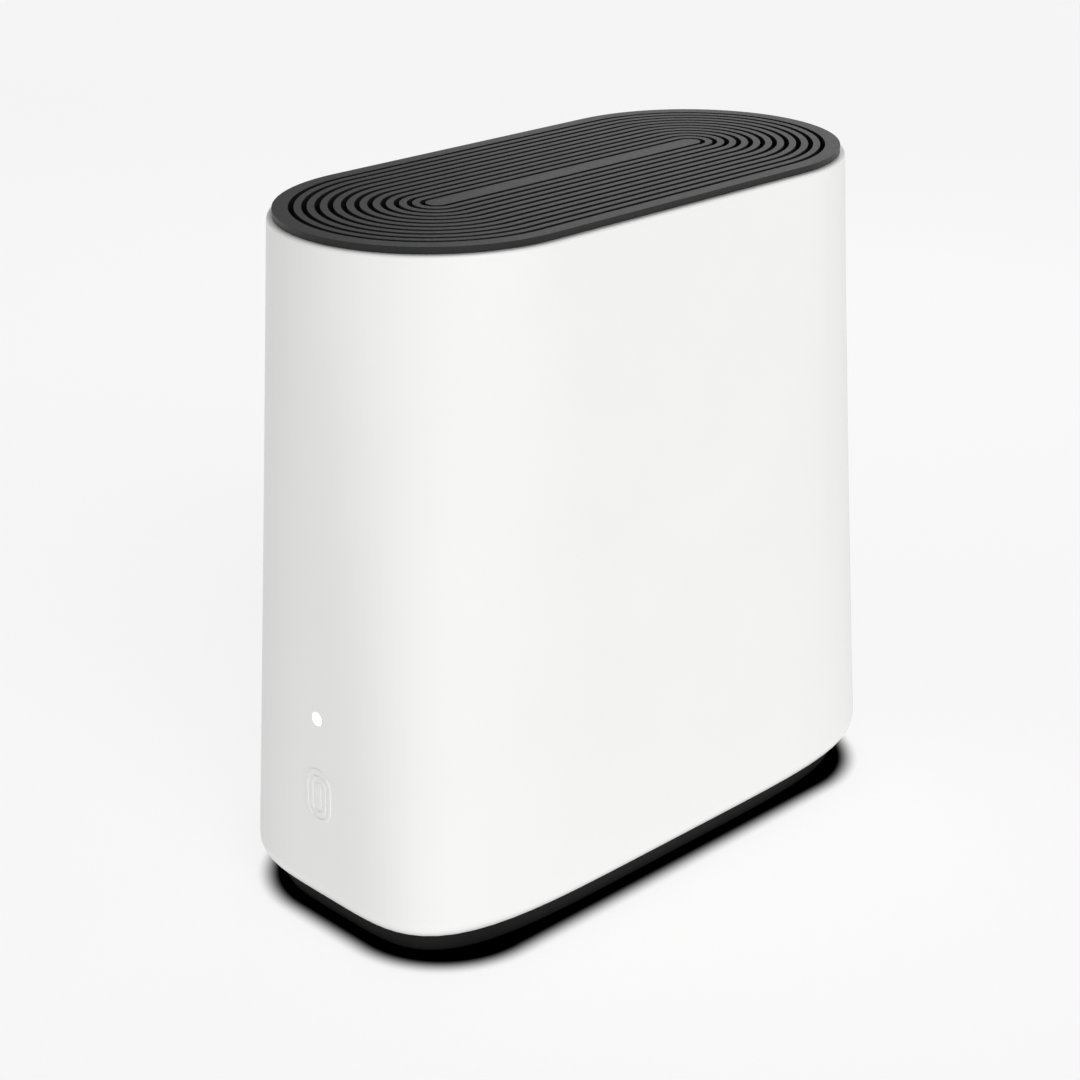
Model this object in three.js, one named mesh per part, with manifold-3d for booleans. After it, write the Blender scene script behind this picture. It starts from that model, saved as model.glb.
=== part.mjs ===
// A stand-up wireless router: a tapered white sleeve on a recessed black base, a ribbed black
// vent plate on top, a recessed port bay behind, and the electronics on one upright board inside.
// Millimetres, +Z up. The origin is on the table, under the middle of the base.
// The front, with the status light, faces -Y; the port bay faces +Y.

import * as THREE from 'three';
import { mergeVertices } from 'three/addons/utils/BufferGeometryUtils.js';
import Module from 'manifold-3d';

const wasm = await Module();
wasm.setup();

// ---------------------------------------------------------------- driving dimensions (mm)

// The sleeve's outside. Its outline is a stadium at the top and a soft rectangle at the base.
const BASE_LENGTH = 235.4;
const BASE_WIDTH = 116.2;
const SHELL_HEIGHT = 227;
const TAPER_LENGTH = 6;            // how much each end leans in over the height
const TAPER_WIDTH = 4.6;           // how much each side leans in over the height
const TAPER_BULGE = -0.2547;       // the lean is slow at the top and quicker lower down
const BASE_END_FLAT = 8.8;         // half of the straight stretch along the base
const TOP_POWER = 2;               // a corner of power 2 is round
const BASE_POWER = 4.3;            // a higher power squares it
const EDGE_DROP = 7.9;             // the rounded lower edge, up the side
const EDGE_INSET = 5.4;            // and in from the side
const LIP_RADIUS = 0.9;            // the rounded rim at the top
const WALL = 2.4;

// The base, its feet and the label's pocket.
const FOOT_HEIGHT = 1.5;
const FOOT_RADIUS = 8;
const FOOT_SEAT = 1;               // how deep a foot sits in its pocket
const FOOT_SIDE = 28.1;            // foot centres in from the base's sides
const FOOT_END = 27.7;             // and from its ends
const PLINTH_HEIGHT = 8.5;         // the part that shows below the sleeve
const PLINTH_INSET = 1.5;          // in from the sleeve's lower edge
const PLINTH_DRAFT = 1;
const PLINTH_COLLAR = 4;           // how far its collar stands up inside the sleeve
const PLINTH_WALL = 2.4;
const LABEL_LENGTH = 50;
const LABEL_WIDTH = 24;
const LABEL_THICKNESS = 0.2;

// The vent plate.
const GRILLE_RISE = 2.4;           // how far its face stands above the sleeve's rim
const GRILLE_LIP = 1.73;           // the white rim left showing round it
const GROOVE_WIDTH = 1.75;
const GROOVE_PITCH = 4.11;
const GROOVE_FIRST = 4.7;          // radius of the innermost groove's centre line
const GRILLE_RIM = 5.1;            // flat border outside the last groove
const GROOVE_DEPTH = 4;            // from the face down to the cross ribs
const WELL_DEPTH = 4.3;            // how far the plate's body reaches down into the sleeve
const WELL_WALL = 1.3;
const CROSS_RIB = 2.4;
const CROSS_RIB_SPACING = 40;
const HOOK_LENGTH = 10;
const HOOK_PLACE = 0.8;            // along the straight sides, as a share of their half
const HOOK_REACH = 1.6;
const HOOK_HEIGHT = 2.2;

// The screws that hold the base, the chassis and the sleeve together.
const SCREW_SIDE = 18.1;           // in from the base's sides
const SCREW_END = 55.7;            // and from its ends
const SCREW_RADIUS = 1.5;
const SCREW_HEAD_RADIUS = 3.2;
const SCREW_HEAD_HEIGHT = 2.6;
const SCREW_LENGTH = 20;
const SCREW_RECESS = 0.7;          // how far the heads sit above the underside
const POST_CAP = 2.8;              // plastic between a head and the chassis
const POST_WALL = 1.9;
const BOSS_WALL = 2.7;

// The chassis, the board and what cools it.
const BOARD_FRONT_SPACE = 17.7;    // from the sleeve's front at the top to the board
const BOARD_REAR_SPACE = 3.7;      // from the sockets' faces back to the board's edge
const BOARD_TOP_SPACE = 15.4;      // below the sleeve's rim
const BOARD_THICKNESS = 1.6;
const BOARD_LIFT = 7;              // above the chassis foot
const CHASSIS_PLATE = 2.4;
const BOARD_STANDOFF = 3.6;
const BOARD_SCREW_EDGE = 8;        // board screws in from the board's edges
const BOARD_SCREW_REAR = 22;       // and in front of the sockets
const UPRIGHT_RISE = 4;            // the chassis above the board
const GUSSET_SIZE = 14;
const GUSSET_END = 24;             // first and last gusset, in from the board's ends
const SMALL_SCREW_RADIUS = 1.2;
const SMALL_HEAD_RADIUS = 2.8;
const SMALL_HEAD_HEIGHT = 1.8;
const SINK_FRONT_SPACE = 14;       // from the board's front edge
const SINK_JACK_SPACE = 2.7;       // from the backs of the network jacks
const SINK_CAGE_SPACE = 12;        // above the fibre module cage
const SINK_TOP_SPACE = 18;         // below the board's top edge
const SINK_SIDE_SPACE = 17.85;     // from the fins to the sleeve's wall
const SINK_BASE = 4;
const SINK_LUG = 10;               // the plate beyond the fins, for the screws
const SINK_SCREW_Y = 4;            // its screws in from its ends
const SINK_SCREW_Z = 6;            // and from its lower and upper edges
const FIN_THICKNESS = 1.6;
const FIN_PITCH = 9.5;
const SPREADER_THICKNESS = 1.2;
const PROCESSOR_SIZE = 27;
const PROCESSOR_HEIGHT = 2.4;
const PAD_THICKNESS = 1;
const PAD_MARGIN = 1.5;            // the front pad beyond the processor
const REAR_PAD_MARGIN = 6;
const MEMORY_LENGTH = 14;
const MEMORY_WIDTH = 9;
const MEMORY_HEIGHT = 1.1;
const MEMORY_SPACE = 6.5;          // between the processor and the memory
const CAPACITOR_RADIUS = 4;
const CAPACITOR_LENGTH = 11.5;
const CAPACITOR_REAR = 34;         // its centre in from the board's rear edge
const CAPACITOR_RISE = 14;         // and up from its lower edge
const CAN_LENGTH = 36;             // radio cans
const CAN_WIDTH = 18;
const CAN_HEIGHT = 2.8;
const CAN_SHEET = 0.4;
const CAN_SPACE = 4;               // below the heat spreader
const CAN_END = 12;                // first and last can, in from the board's ends

// The port bay in the back and its sockets.
const BAY_WIDTH = 40;
const BAY_RISE = 15;               // its lower edge above the sleeve's lower edge
const BAY_TOP_SPACE = 13;          // its upper edge below the sleeve's rim
const BAY_CORNER = 6;
const BAY_WALL = 1.8;
const BAY_DEPTH = 17.7;            // from the base's end to the panel's face
const PANEL_THICKNESS = 2;
const JACK_DEPTH = 21;             // network jack, into the body
const JACK_WIDTH = 16;             // up the panel
const JACK_HEIGHT = 13.5;          // across the panel
const PHONE_WIDTH = 12.5;
const PHONE_HEIGHT = 11.6;
const PHONE_DEPTH = 18;
const SFP_WIDTH = 14.8;
const SFP_HEIGHT = 9.9;
const SFP_DEPTH = 47;
const SFP_WALL = 0.5;
const USB_WIDTH = 8.9;
const USB_HEIGHT = 3.2;
const USB_DEPTH = 7.4;
const POWER_JACK_SIZE = 11;
const POWER_JACK_DEPTH = 14;
const POWER_BORE = 2.9;
const POWER_PIN = 1.05;

// Buttons.
const PAIR_BUTTON_RADIUS = 4.75;
const PAIR_BUTTON_PROUD = 1.2;
const RESET_HOLE_RADIUS = 1.3;
const BUTTON_FLANGE = 1.5;
const PAIR_FLANGE_LIP = 1.2;
const RESET_FLANGE_LIP = 1;

// The status light.
const LIGHT_HEIGHT = 68.6;         // above the sleeve's lower edge
const LIGHT_RADIUS = 2.3;
const GUIDE_DEPTH = 4.4;           // the guide in the sleeve that the light pipe sits in
const GUIDE_WALL = 2.1;
const PIPE_COLLAR = 1.6;
const LIGHT_BOARD_HEIGHT = 16;
const LIGHT_BOARD_LAP = 0.95;      // how far the light's board laps the main board's front edge

// Antennas.
const ANTENNA_LENGTH = 46;
const ANTENNA_HEIGHT = 14;
const ANTENNA_THICKNESS = 0.8;
const ANTENNA_STANDOFF = 11;
const ANTENNA_TOP = 10;            // the upper pair's centres below the board's top
const PEG_RADIUS = 2.2;
const PEG_PLACE = 14.7;            // pegs either side of an antenna's middle
const ANTENNA_END = 36;            // antenna centres in from the board's ends
const ANTENNA_STEP = 50;           // and one above the other
const LEAD_RADIUS = 0.7;
const LEAD_PITCH = 26;
const LEAD_DROP = 7;               // the leads' holes below the radio cans
const LEAD_FIRST = 46;             // first lead's hole, from the board's front edge

// Clearances.
const GAP = 0.3;                   // between pieces that seat on or in each other
const SLIDE_GAP = 0.3;             // round a piece that moves
const HOLE_GAP = 0.4;              // round a screw

// ---------------------------------------------------------------- places that follow

const shellBottom = FOOT_HEIGHT + PLINTH_HEIGHT;
const shellTop = shellBottom + SHELL_HEIGHT;
const grilleTop = shellTop + GRILLE_RISE;
const plinthFloor = FOOT_HEIGHT + PLINTH_WALL;
const screwHeadBottom = FOOT_HEIGHT + SCREW_RECESS;
const screwHeadTop = screwHeadBottom + SCREW_HEAD_HEIGHT;
const chassisFoot = screwHeadTop + GAP + POST_CAP + GAP;
const chassisFootTop = chassisFoot + CHASSIS_PLATE;
const boardBottom = chassisFootTop + BOARD_LIFT;
const boardTop = shellTop - BOARD_TOP_SPACE;
const panelFace = BASE_LENGTH / 2 - BAY_DEPTH;
const panelBack = panelFace - PANEL_THICKNESS;
const jackFace = panelBack - GAP;
const boardRear = jackFace - BOARD_REAR_SPACE;
const boardFront = -(BASE_LENGTH / 2 - TAPER_LENGTH - BOARD_FRONT_SPACE);
const boardFaceX = -JACK_HEIGHT / 2 - GAP;         // the jacks' side of the board
const boardBackX = boardFaceX - BOARD_THICKNESS;
const partFaceX = boardFaceX + GAP;                // where parts on the board begin
const chassisFaceX = boardBackX - GAP - BOARD_STANDOFF;
const chassisBackX = chassisFaceX - CHASSIS_PLATE;
const lightZ = shellBottom + LIGHT_HEIGHT;
const bayBottom = shellBottom + BAY_RISE;
const bayTop = shellTop - BAY_TOP_SPACE;
const bayHeight = bayTop - bayBottom;
const footX = BASE_WIDTH / 2 - FOOT_SIDE;
const footY = BASE_LENGTH / 2 - FOOT_END;
const screwX = BASE_WIDTH / 2 - SCREW_SIDE;
const screwY = BASE_LENGTH / 2 - SCREW_END;
const bossRadius = SCREW_RADIUS + GAP + BOSS_WALL;
const postRadius = SCREW_HEAD_RADIUS + HOLE_GAP + POST_WALL;

// ---------------------------------------------------------------- solids

// A closed geometry as a solid that can be joined and cut.
function solid(geometry) {
  const bare = geometry.clone();
  bare.deleteAttribute('normal');
  bare.deleteAttribute('uv');
  const merged = mergeVertices(bare, 1e-4);
  const mesh = new wasm.Mesh({
    numProp: 3,
    vertProperties: new Float32Array(merged.attributes.position.array),
    triVerts: new Uint32Array(merged.index.array),
  });
  return new wasm.Manifold(mesh);
}

function geometryOf(body) {
  const mesh = body.getMesh();
  const geometry = new THREE.BufferGeometry();
  geometry.setAttribute('position', new THREE.BufferAttribute(new Float32Array(mesh.vertProperties), 3));
  geometry.setIndex(new THREE.BufferAttribute(new Uint32Array(mesh.triVerts), 1));
  geometry.computeVertexNormals();
  return geometry;
}

function join(first, ...rest) {
  return rest.reduce((body, piece) => body.add(piece), first);
}

function cut(first, ...rest) {
  return rest.reduce((body, piece) => body.subtract(piece), first);
}

function box(x0, x1, y0, y1, z0, z1) {
  const geometry = new THREE.BoxGeometry(x1 - x0, y1 - y0, z1 - z0);
  geometry.translate((x0 + x1) / 2, (y0 + y1) / 2, (z0 + z1) / 2);
  return solid(geometry);
}

function rodZ(radius, x, y, z0, z1, sides = 20) {
  const geometry = new THREE.CylinderGeometry(radius, radius, z1 - z0, sides);
  geometry.rotateX(Math.PI / 2);
  geometry.translate(x, y, (z0 + z1) / 2);
  return solid(geometry);
}

function rodY(radius, x, z, y0, y1, sides = 20) {
  const geometry = new THREE.CylinderGeometry(radius, radius, y1 - y0, sides);
  geometry.translate(x, (y0 + y1) / 2, z);
  return solid(geometry);
}

function rodX(radius, y, z, x0, x1, sides = 16) {
  const geometry = new THREE.CylinderGeometry(radius, radius, x1 - x0, sides);
  geometry.rotateZ(Math.PI / 2);
  geometry.translate((x0 + x1) / 2, y, z);
  return solid(geometry);
}

// A rounded rectangle, wide along X and high along Z, swept along Y.
function panelPrism(width, height, radius, x, z, y0, y1, steps = 3) {
  const w = width / 2;
  const h = height / 2;
  const r = Math.min(radius, w - 0.01, h - 0.01);
  const shape = new THREE.Shape();
  shape.moveTo(w, h - r);
  shape.absarc(w - r, h - r, r, 0, Math.PI / 2);
  shape.absarc(-w + r, h - r, r, Math.PI / 2, Math.PI);
  shape.absarc(-w + r, -h + r, r, Math.PI, Math.PI * 1.5);
  shape.absarc(w - r, -h + r, r, Math.PI * 1.5, Math.PI * 2);
  const geometry = new THREE.ExtrudeGeometry(shape, {
    depth: y1 - y0,
    bevelEnabled: false,
    curveSegments: steps,
  });
  geometry.rotateX(Math.PI / 2);
  geometry.translate(x, y1, z);
  return solid(geometry);
}

// ---------------------------------------------------------------- the sleeve's outline

const CORNER_STEPS = 10;

// Half sizes of the outline at a height, set in by an amount all round.
function outlineAt(z, inset) {
  const cornerTop = BASE_WIDTH / 2 - TAPER_WIDTH;
  const lawBottom = shellBottom + EDGE_DROP;
  const rise = THREE.MathUtils.clamp((shellTop - z) / (shellTop - lawBottom), 0, 1);
  const blend = rise + TAPER_BULGE * rise * (1 - rise);
  const mix = (top, base) => top + (base - top) * blend;
  let edge = 0;
  if (z < lawBottom) {
    const down = Math.min((lawBottom - z) / EDGE_DROP, 1);
    edge = EDGE_INSET * (1 - Math.sqrt(Math.max(0, 1 - down * down)));
  }
  if (z > shellTop - LIP_RADIUS) {
    const up = Math.min((z - shellTop + LIP_RADIUS) / LIP_RADIUS, 1);
    edge = LIP_RADIUS * (1 - Math.sqrt(Math.max(0, 1 - up * up)));
  }
  const off = edge + inset;
  const width = mix(cornerTop, BASE_WIDTH / 2);
  const cornerY = mix(cornerTop, BASE_LENGTH / 2 - BASE_END_FLAT);
  return {
    width: width - off,
    length: mix(BASE_LENGTH / 2 - TAPER_LENGTH, BASE_LENGTH / 2) - off,
    cornerX: width - off,
    cornerY: cornerY - off,
    power: mix(TOP_POWER, BASE_POWER),
  };
}

// The outline's points, anticlockwise from the middle of the +X side.
function outlinePoints(outline) {
  const { width, length, cornerX, cornerY, power } = outline;
  const points = [];
  for (let quarter = 0; quarter < 4; quarter += 1) {
    const signX = quarter === 0 || quarter === 3 ? 1 : -1;
    const signY = quarter < 2 ? 1 : -1;
    for (let step = 0; step <= CORNER_STEPS; step += 1) {
      const share = quarter % 2 === 0 ? step : CORNER_STEPS - step;
      const angle = (Math.PI / 2) * (share / CORNER_STEPS);
      const along = Math.pow(Math.max(Math.cos(angle), 0), 2 / power);
      const across = Math.pow(Math.max(Math.sin(angle), 0), 2 / power);
      const x = width - cornerX + cornerX * along;
      const y = length - cornerY + cornerY * across;
      points.push(new THREE.Vector2(signX * x, signY * y));
    }
  }
  return points.filter((point, index) => point.distanceTo(points.at(index - 1)) > 0.01);
}

// A closed solid through outlines at rising heights: [{ z, outline }].
function loft(levels) {
  const rings = levels.map(({ z, outline }) => ({ z, points: outlinePoints(outline) }));
  const count = rings[0].points.length;
  const position = [];
  rings.forEach(({ z, points }) => points.forEach((point) => position.push(point.x, point.y, z)));
  const index = [];
  for (let level = 0; level + 1 < rings.length; level += 1) {
    for (let side = 0; side < count; side += 1) {
      const next = (side + 1) % count;
      const low = level * count;
      const high = low + count;
      index.push(low + side, low + next, high + next);
      index.push(low + side, high + next, high + side);
    }
  }
  const lid = THREE.ShapeUtils.triangulateShape(rings.at(-1).points, []);
  const top = (rings.length - 1) * count;
  lid.forEach(([a, b, c]) => index.push(top + a, top + b, top + c));
  const floor = THREE.ShapeUtils.triangulateShape(rings[0].points, []);
  floor.forEach(([a, b, c]) => index.push(a, c, b));
  const geometry = new THREE.BufferGeometry();
  geometry.setAttribute('position', new THREE.Float32BufferAttribute(position, 3));
  geometry.setIndex(index);
  return solid(geometry);
}

// Heights that catch the sleeve's rounded edges and its slow curve.
function sleeveHeights() {
  const heights = [];
  for (let step = 0; step < 4; step += 1) {
    heights.push(shellBottom + EDGE_DROP * (1 - Math.cos((Math.PI / 2) * (step / 4))));
  }
  const lawBottom = shellBottom + EDGE_DROP;
  const sideSteps = 5;
  for (let step = 0; step < sideSteps; step += 1) {
    heights.push(lawBottom + (shellTop - LIP_RADIUS - lawBottom) * (step / sideSteps));
  }
  for (let step = 0; step <= 2; step += 1) {
    heights.push(shellTop - LIP_RADIUS * (1 - Math.sin((Math.PI / 2) * (step / 2))));
  }
  return heights;
}

function sleeveSolid(inset) {
  return loft(sleeveHeights().map((z) => ({ z, outline: outlineAt(z, inset) })));
}

// A straight-sided plate with the sleeve's outline at one height.
function outlinePlate(atZ, inset, z0, z1) {
  const outline = outlineAt(atZ, inset);
  return loft([{ z: z0, outline }, { z: z1, outline }]);
}

// ---------------------------------------------------------------- the vent plate's outline

const straightHalf = BASE_LENGTH / 2 - TAPER_LENGTH - (BASE_WIDTH / 2 - TAPER_WIDTH);
const slabRadius = BASE_WIDTH / 2 - TAPER_WIDTH - GRILLE_LIP;
const grooveLast = slabRadius - GRILLE_RIM - GROOVE_WIDTH / 2;
const grooveCount = Math.floor((grooveLast - GROOVE_FIRST) / GROOVE_PITCH + 0.01) + 1;
const wellRadius = grooveLast + GROOVE_WIDTH / 2 + WELL_WALL;
const deckRadius = wellRadius + GAP;
const wellBottom = shellTop - WELL_DEPTH + GAP;

// A flat plate with straight sides along Y and round ends.
function stadium(radius, z0, z1, steps) {
  const shape = new THREE.Shape();
  shape.moveTo(radius, -straightHalf);
  shape.lineTo(radius, straightHalf);
  shape.absarc(0, straightHalf, radius, 0, Math.PI);
  shape.lineTo(-radius, -straightHalf);
  shape.absarc(0, -straightHalf, radius, Math.PI, Math.PI * 2);
  const geometry = new THREE.ExtrudeGeometry(shape, {
    depth: z1 - z0,
    bevelEnabled: false,
    curveSegments: steps,
  });
  geometry.translate(0, 0, z0);
  return solid(geometry);
}

function stepsFor(radius) {
  return Math.round(THREE.MathUtils.clamp(radius * 0.16, 4, 7));
}

// ---------------------------------------------------------------- finishes

const finishes = {
  white: { color: 0xe9e9e7, roughness: 0.36, metalness: 0 },
  charcoal: { color: 0x343435, roughness: 0.62, metalness: 0 },
  black: { color: 0x111112, roughness: 0.6, metalness: 0 },
  rubber: { color: 0x1b1b1c, roughness: 0.9, metalness: 0 },
  board: { color: 0x12402c, roughness: 0.5, metalness: 0 },
  chip: { color: 0x1a1a1b, roughness: 0.45, metalness: 0 },
  aluminium: { color: 0xb4b7ba, roughness: 0.35, metalness: 1 },
  tin: { color: 0xc0c0bd, roughness: 0.28, metalness: 1 },
  steel: { color: 0x9a9b9d, roughness: 0.3, metalness: 1 },
  grey: { color: 0x8b8d90, roughness: 0.7, metalness: 0 },
  clear: { color: 0xf5f7f8, roughness: 0.15, metalness: 0 },
  yellow: { color: 0xe0b030, roughness: 0.5, metalness: 0 },
  red: { color: 0xb23a2e, roughness: 0.5, metalness: 0 },
  label: { color: 0xdfe0df, roughness: 0.55, metalness: 0 },
};

const router = new THREE.Group();

function addPiece(name, body, finish) {
  const mesh = new THREE.Mesh(geometryOf(body), new THREE.MeshStandardMaterial(finishes[finish]));
  mesh.name = name;
  router.add(mesh);
}

const screwPlaces = [
  [-screwX, -screwY],
  [screwX, -screwY],
  [-screwX, screwY],
  [screwX, screwY],
];

// ---------------------------------------------------------------- sleeve

// The one-piece sleeve: open below, decked on top round the vent plate's well, cut away behind
// for the port bay, with four screw bosses and a guide for the light pipe.
const bossBottom = chassisFootTop + GAP;
const bossTop = bossBottom + SCREW_LENGTH - 1;
const lightFront = -outlineAt(lightZ, 0).length;

function sleeve() {
  const deck = shellTop - WALL;
  const levels = sleeveHeights().filter((z) => z < deck - 1);
  levels.push(deck);
  const inside = loft([
    { z: shellBottom - 1, outline: outlineAt(shellBottom, WALL) },
    ...levels.map((z) => ({ z, outline: outlineAt(z, WALL) })),
  ]);
  const bosses = screwPlaces.flatMap(([x, y]) => {
    const reach = outlineAt(bossTop, WALL / 2).width;
    const x0 = x < 0 ? -reach : x;
    const x1 = x < 0 ? x : reach;
    const webBottom = shellBottom + EDGE_DROP;
    return [
      rodZ(bossRadius, x, y, bossBottom, bossTop),
      box(x0, x1, y - 1, y + 1, webBottom, bossTop - 4),
    ];
  });
  const pilots = screwPlaces.map(([x, y]) =>
    rodZ(SCREW_RADIUS + GAP, x, y, bossBottom - 1, bossTop - 3, 16));
  const guideRear = lightFront + WALL + GUIDE_DEPTH;
  const guide = rodY(LIGHT_RADIUS + GAP + GUIDE_WALL, 0, lightZ, lightFront + WALL / 2, guideRear);
  const lightHole = rodY(LIGHT_RADIUS + GAP, 0, lightZ, lightFront - 1, guideRear + 1, 24);
  const bay = panelPrism(BAY_WIDTH + 2 * GAP, bayHeight + 2 * GAP, BAY_CORNER + GAP,
    0, (bayBottom + bayTop) / 2, panelBack - 5, BASE_LENGTH / 2 + 5);
  const opening = stadium(deckRadius, deck - 1, shellTop + 1, stepsFor(deckRadius));
  const hollow = cut(sleeveSolid(0), inside, opening);
  return cut(join(hollow, ...bosses, guide), ...pilots, lightHole, bay);
}

addPiece('shell', sleeve(), 'white');

// ---------------------------------------------------------------- vent plate

// The slab stands on the deck, its well hangs in the deck's opening, and rings of through
// slots are held by cross ribs under them. Four hooks catch the deck from below.
function ventPlate() {
  const slab = stadium(slabRadius, shellTop + GAP, grilleTop, stepsFor(slabRadius));
  const well = stadium(wellRadius, wellBottom, shellTop + GAP + 0.5, stepsFor(wellRadius));
  let body = join(slab, well);
  for (let ring = 0; ring < grooveCount; ring += 1) {
    const middle = GROOVE_FIRST + GROOVE_PITCH * ring;
    const outer = middle + GROOVE_WIDTH / 2;
    const inner = middle - GROOVE_WIDTH / 2;
    const groove = cut(
      stadium(outer, wellBottom - 1, grilleTop + 1, stepsFor(middle)),
      stadium(inner, wellBottom - 2, grilleTop + 2, stepsFor(middle)),
    );
    body = cut(body, groove);
  }
  const ribTop = grilleTop - GROOVE_DEPTH;
  const ribReach = wellRadius - WELL_WALL / 2;
  const ribs = [box(-CROSS_RIB / 2, CROSS_RIB / 2, -straightHalf - ribReach, straightHalf + ribReach,
    wellBottom, ribTop)];
  const rows = Math.floor(straightHalf / CROSS_RIB_SPACING);
  for (let row = -rows; row <= rows; row += 1) {
    const y = row * CROSS_RIB_SPACING;
    ribs.push(box(-ribReach, ribReach, y - CROSS_RIB / 2, y + CROSS_RIB / 2, wellBottom, ribTop));
  }
  const hookTop = shellTop - WALL - GAP;
  const hooks = [-1, 1].flatMap((side) => [-1, 1].map((end) => {
    const root = side * (wellRadius - WELL_WALL / 2);
    const tip = side * (wellRadius + HOOK_REACH);
    const y = end * straightHalf * HOOK_PLACE;
    return box(Math.min(root, tip), Math.max(root, tip), y - HOOK_LENGTH / 2, y + HOOK_LENGTH / 2,
      hookTop - HOOK_HEIGHT, hookTop);
  }));
  return join(body, ...ribs, ...hooks, hookRoots(hookTop));
}

// A flange round the foot of the well that the hooks grow from.
function hookRoots(hookTop) {
  return cut(
    stadium(wellRadius, hookTop - HOOK_HEIGHT, wellBottom + 0.5, stepsFor(wellRadius)),
    stadium(wellRadius - WELL_WALL, hookTop - HOOK_HEIGHT - 1, wellBottom + 1.5, stepsFor(wellRadius)),
  );
}

addPiece('vent_plate', ventPlate(), 'charcoal');

// ---------------------------------------------------------------- base

// A shallow tray that shows as the dark recess under the sleeve. A collar locates it in the
// sleeve's opening, posts carry the chassis, and slots in its floor let the air in.
const footPlaces = [
  ['front_left', -footX, -footY],
  ['front_right', footX, -footY],
  ['rear_left', -footX, footY],
  ['rear_right', footX, footY],
];
const SLOT_WIDTH = 3;
const SLOT_LENGTH = 46;
const SLOT_PITCH = 8;
const SLOT_SPACE = 8;              // between the slots and the label's pocket or the feet
const slotRows = [];
for (let y = LABEL_LENGTH / 2 + SLOT_SPACE + 1; y <= footY - FOOT_RADIUS - SLOT_SPACE; y += SLOT_PITCH) {
  slotRows.push(-y, y);
}

function airSlots(z0, z1, width) {
  return slotRows.map((y) => box(-SLOT_LENGTH / 2, SLOT_LENGTH / 2, y - width / 2, y + width / 2, z0, z1));
}

function base() {
  const skirtTop = shellBottom - GAP;
  const collarInset = WALL + GAP;
  const skirt = loft([
    { z: FOOT_HEIGHT, outline: outlineAt(shellBottom, PLINTH_INSET + PLINTH_DRAFT) },
    { z: FOOT_HEIGHT + 1, outline: outlineAt(shellBottom, PLINTH_INSET + PLINTH_DRAFT * 0.4) },
    { z: skirtTop, outline: outlineAt(shellBottom, PLINTH_INSET) },
  ]);
  const collar = outlinePlate(shellBottom, collarInset, skirtTop - 1, shellBottom + PLINTH_COLLAR);
  const hollowTop = shellBottom + PLINTH_COLLAR + 1;
  const hollow = outlinePlate(shellBottom, collarInset + PLINTH_WALL, plinthFloor, hollowTop);
  const posts = screwPlaces.map(([x, y]) => rodZ(postRadius, x, y, plinthFloor - 1, chassisFoot - GAP));
  const holes = screwPlaces.map(([x, y]) => rodZ(SCREW_RADIUS + HOLE_GAP, x, y, 0, chassisFoot + 1, 16));
  const headSeats = screwPlaces.map(([x, y]) =>
    rodZ(SCREW_HEAD_RADIUS + HOLE_GAP, x, y, 0, screwHeadTop + GAP));
  const pockets = footPlaces.map(([, x, y]) => rodZ(FOOT_RADIUS + GAP, x, y, 0, FOOT_HEIGHT + FOOT_SEAT, 28));
  const labelPocket = box(-LABEL_WIDTH / 2 - GAP, LABEL_WIDTH / 2 + GAP, -LABEL_LENGTH / 2 - GAP,
    LABEL_LENGTH / 2 + GAP, 0, FOOT_HEIGHT + LABEL_THICKNESS + GAP);
  const tray = join(cut(join(skirt, collar), hollow), ...posts);
  const slots = airSlots(0, plinthFloor + 1, SLOT_WIDTH);
  return cut(tray, ...holes, ...headSeats, ...pockets, labelPocket, ...slots);
}

addPiece('base', base(), 'black');

// A rubber pad with a softened lower edge.
function foot(x, y) {
  const top = FOOT_HEIGHT + FOOT_SEAT - GAP;
  const profile = [
    new THREE.Vector2(0, 0),
    new THREE.Vector2(FOOT_RADIUS - 0.6, 0),
    new THREE.Vector2(FOOT_RADIUS, 0.6),
    new THREE.Vector2(FOOT_RADIUS, top),
    new THREE.Vector2(0, top),
  ];
  const geometry = new THREE.LatheGeometry(profile, 28);
  geometry.rotateX(Math.PI / 2);
  geometry.translate(x, y, 0);
  return solid(geometry);
}

footPlaces.forEach(([place, x, y]) => addPiece(`foot_${place}`, foot(x, y), 'rubber'));

addPiece('rating_label', box(-LABEL_WIDTH / 2, LABEL_WIDTH / 2, -LABEL_LENGTH / 2, LABEL_LENGTH / 2,
  FOOT_HEIGHT, FOOT_HEIGHT + LABEL_THICKNESS), 'label');

// A pan-head screw from below, with a cross recess.
function baseScrew(x, y) {
  const body = join(
    rodZ(SCREW_HEAD_RADIUS, x, y, screwHeadBottom, screwHeadTop, 20),
    rodZ(SCREW_RADIUS, x, y, screwHeadTop - 0.5, screwHeadTop + SCREW_LENGTH, 12),
  );
  const slot = 0.5;
  const reach = SCREW_HEAD_RADIUS * 0.6;
  const floor = screwHeadBottom - 1;
  return cut(body,
    box(x - reach, x + reach, y - slot, y + slot, floor, screwHeadBottom + 1.2),
    box(x - slot, x + slot, y - reach, y + reach, floor, screwHeadBottom + 1.2));
}

screwPlaces.forEach(([x, y], index) => addPiece(`base_screw_${index + 1}`, baseScrew(x, y), 'steel'));

// ---------------------------------------------------------------- the stack of sockets

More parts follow.
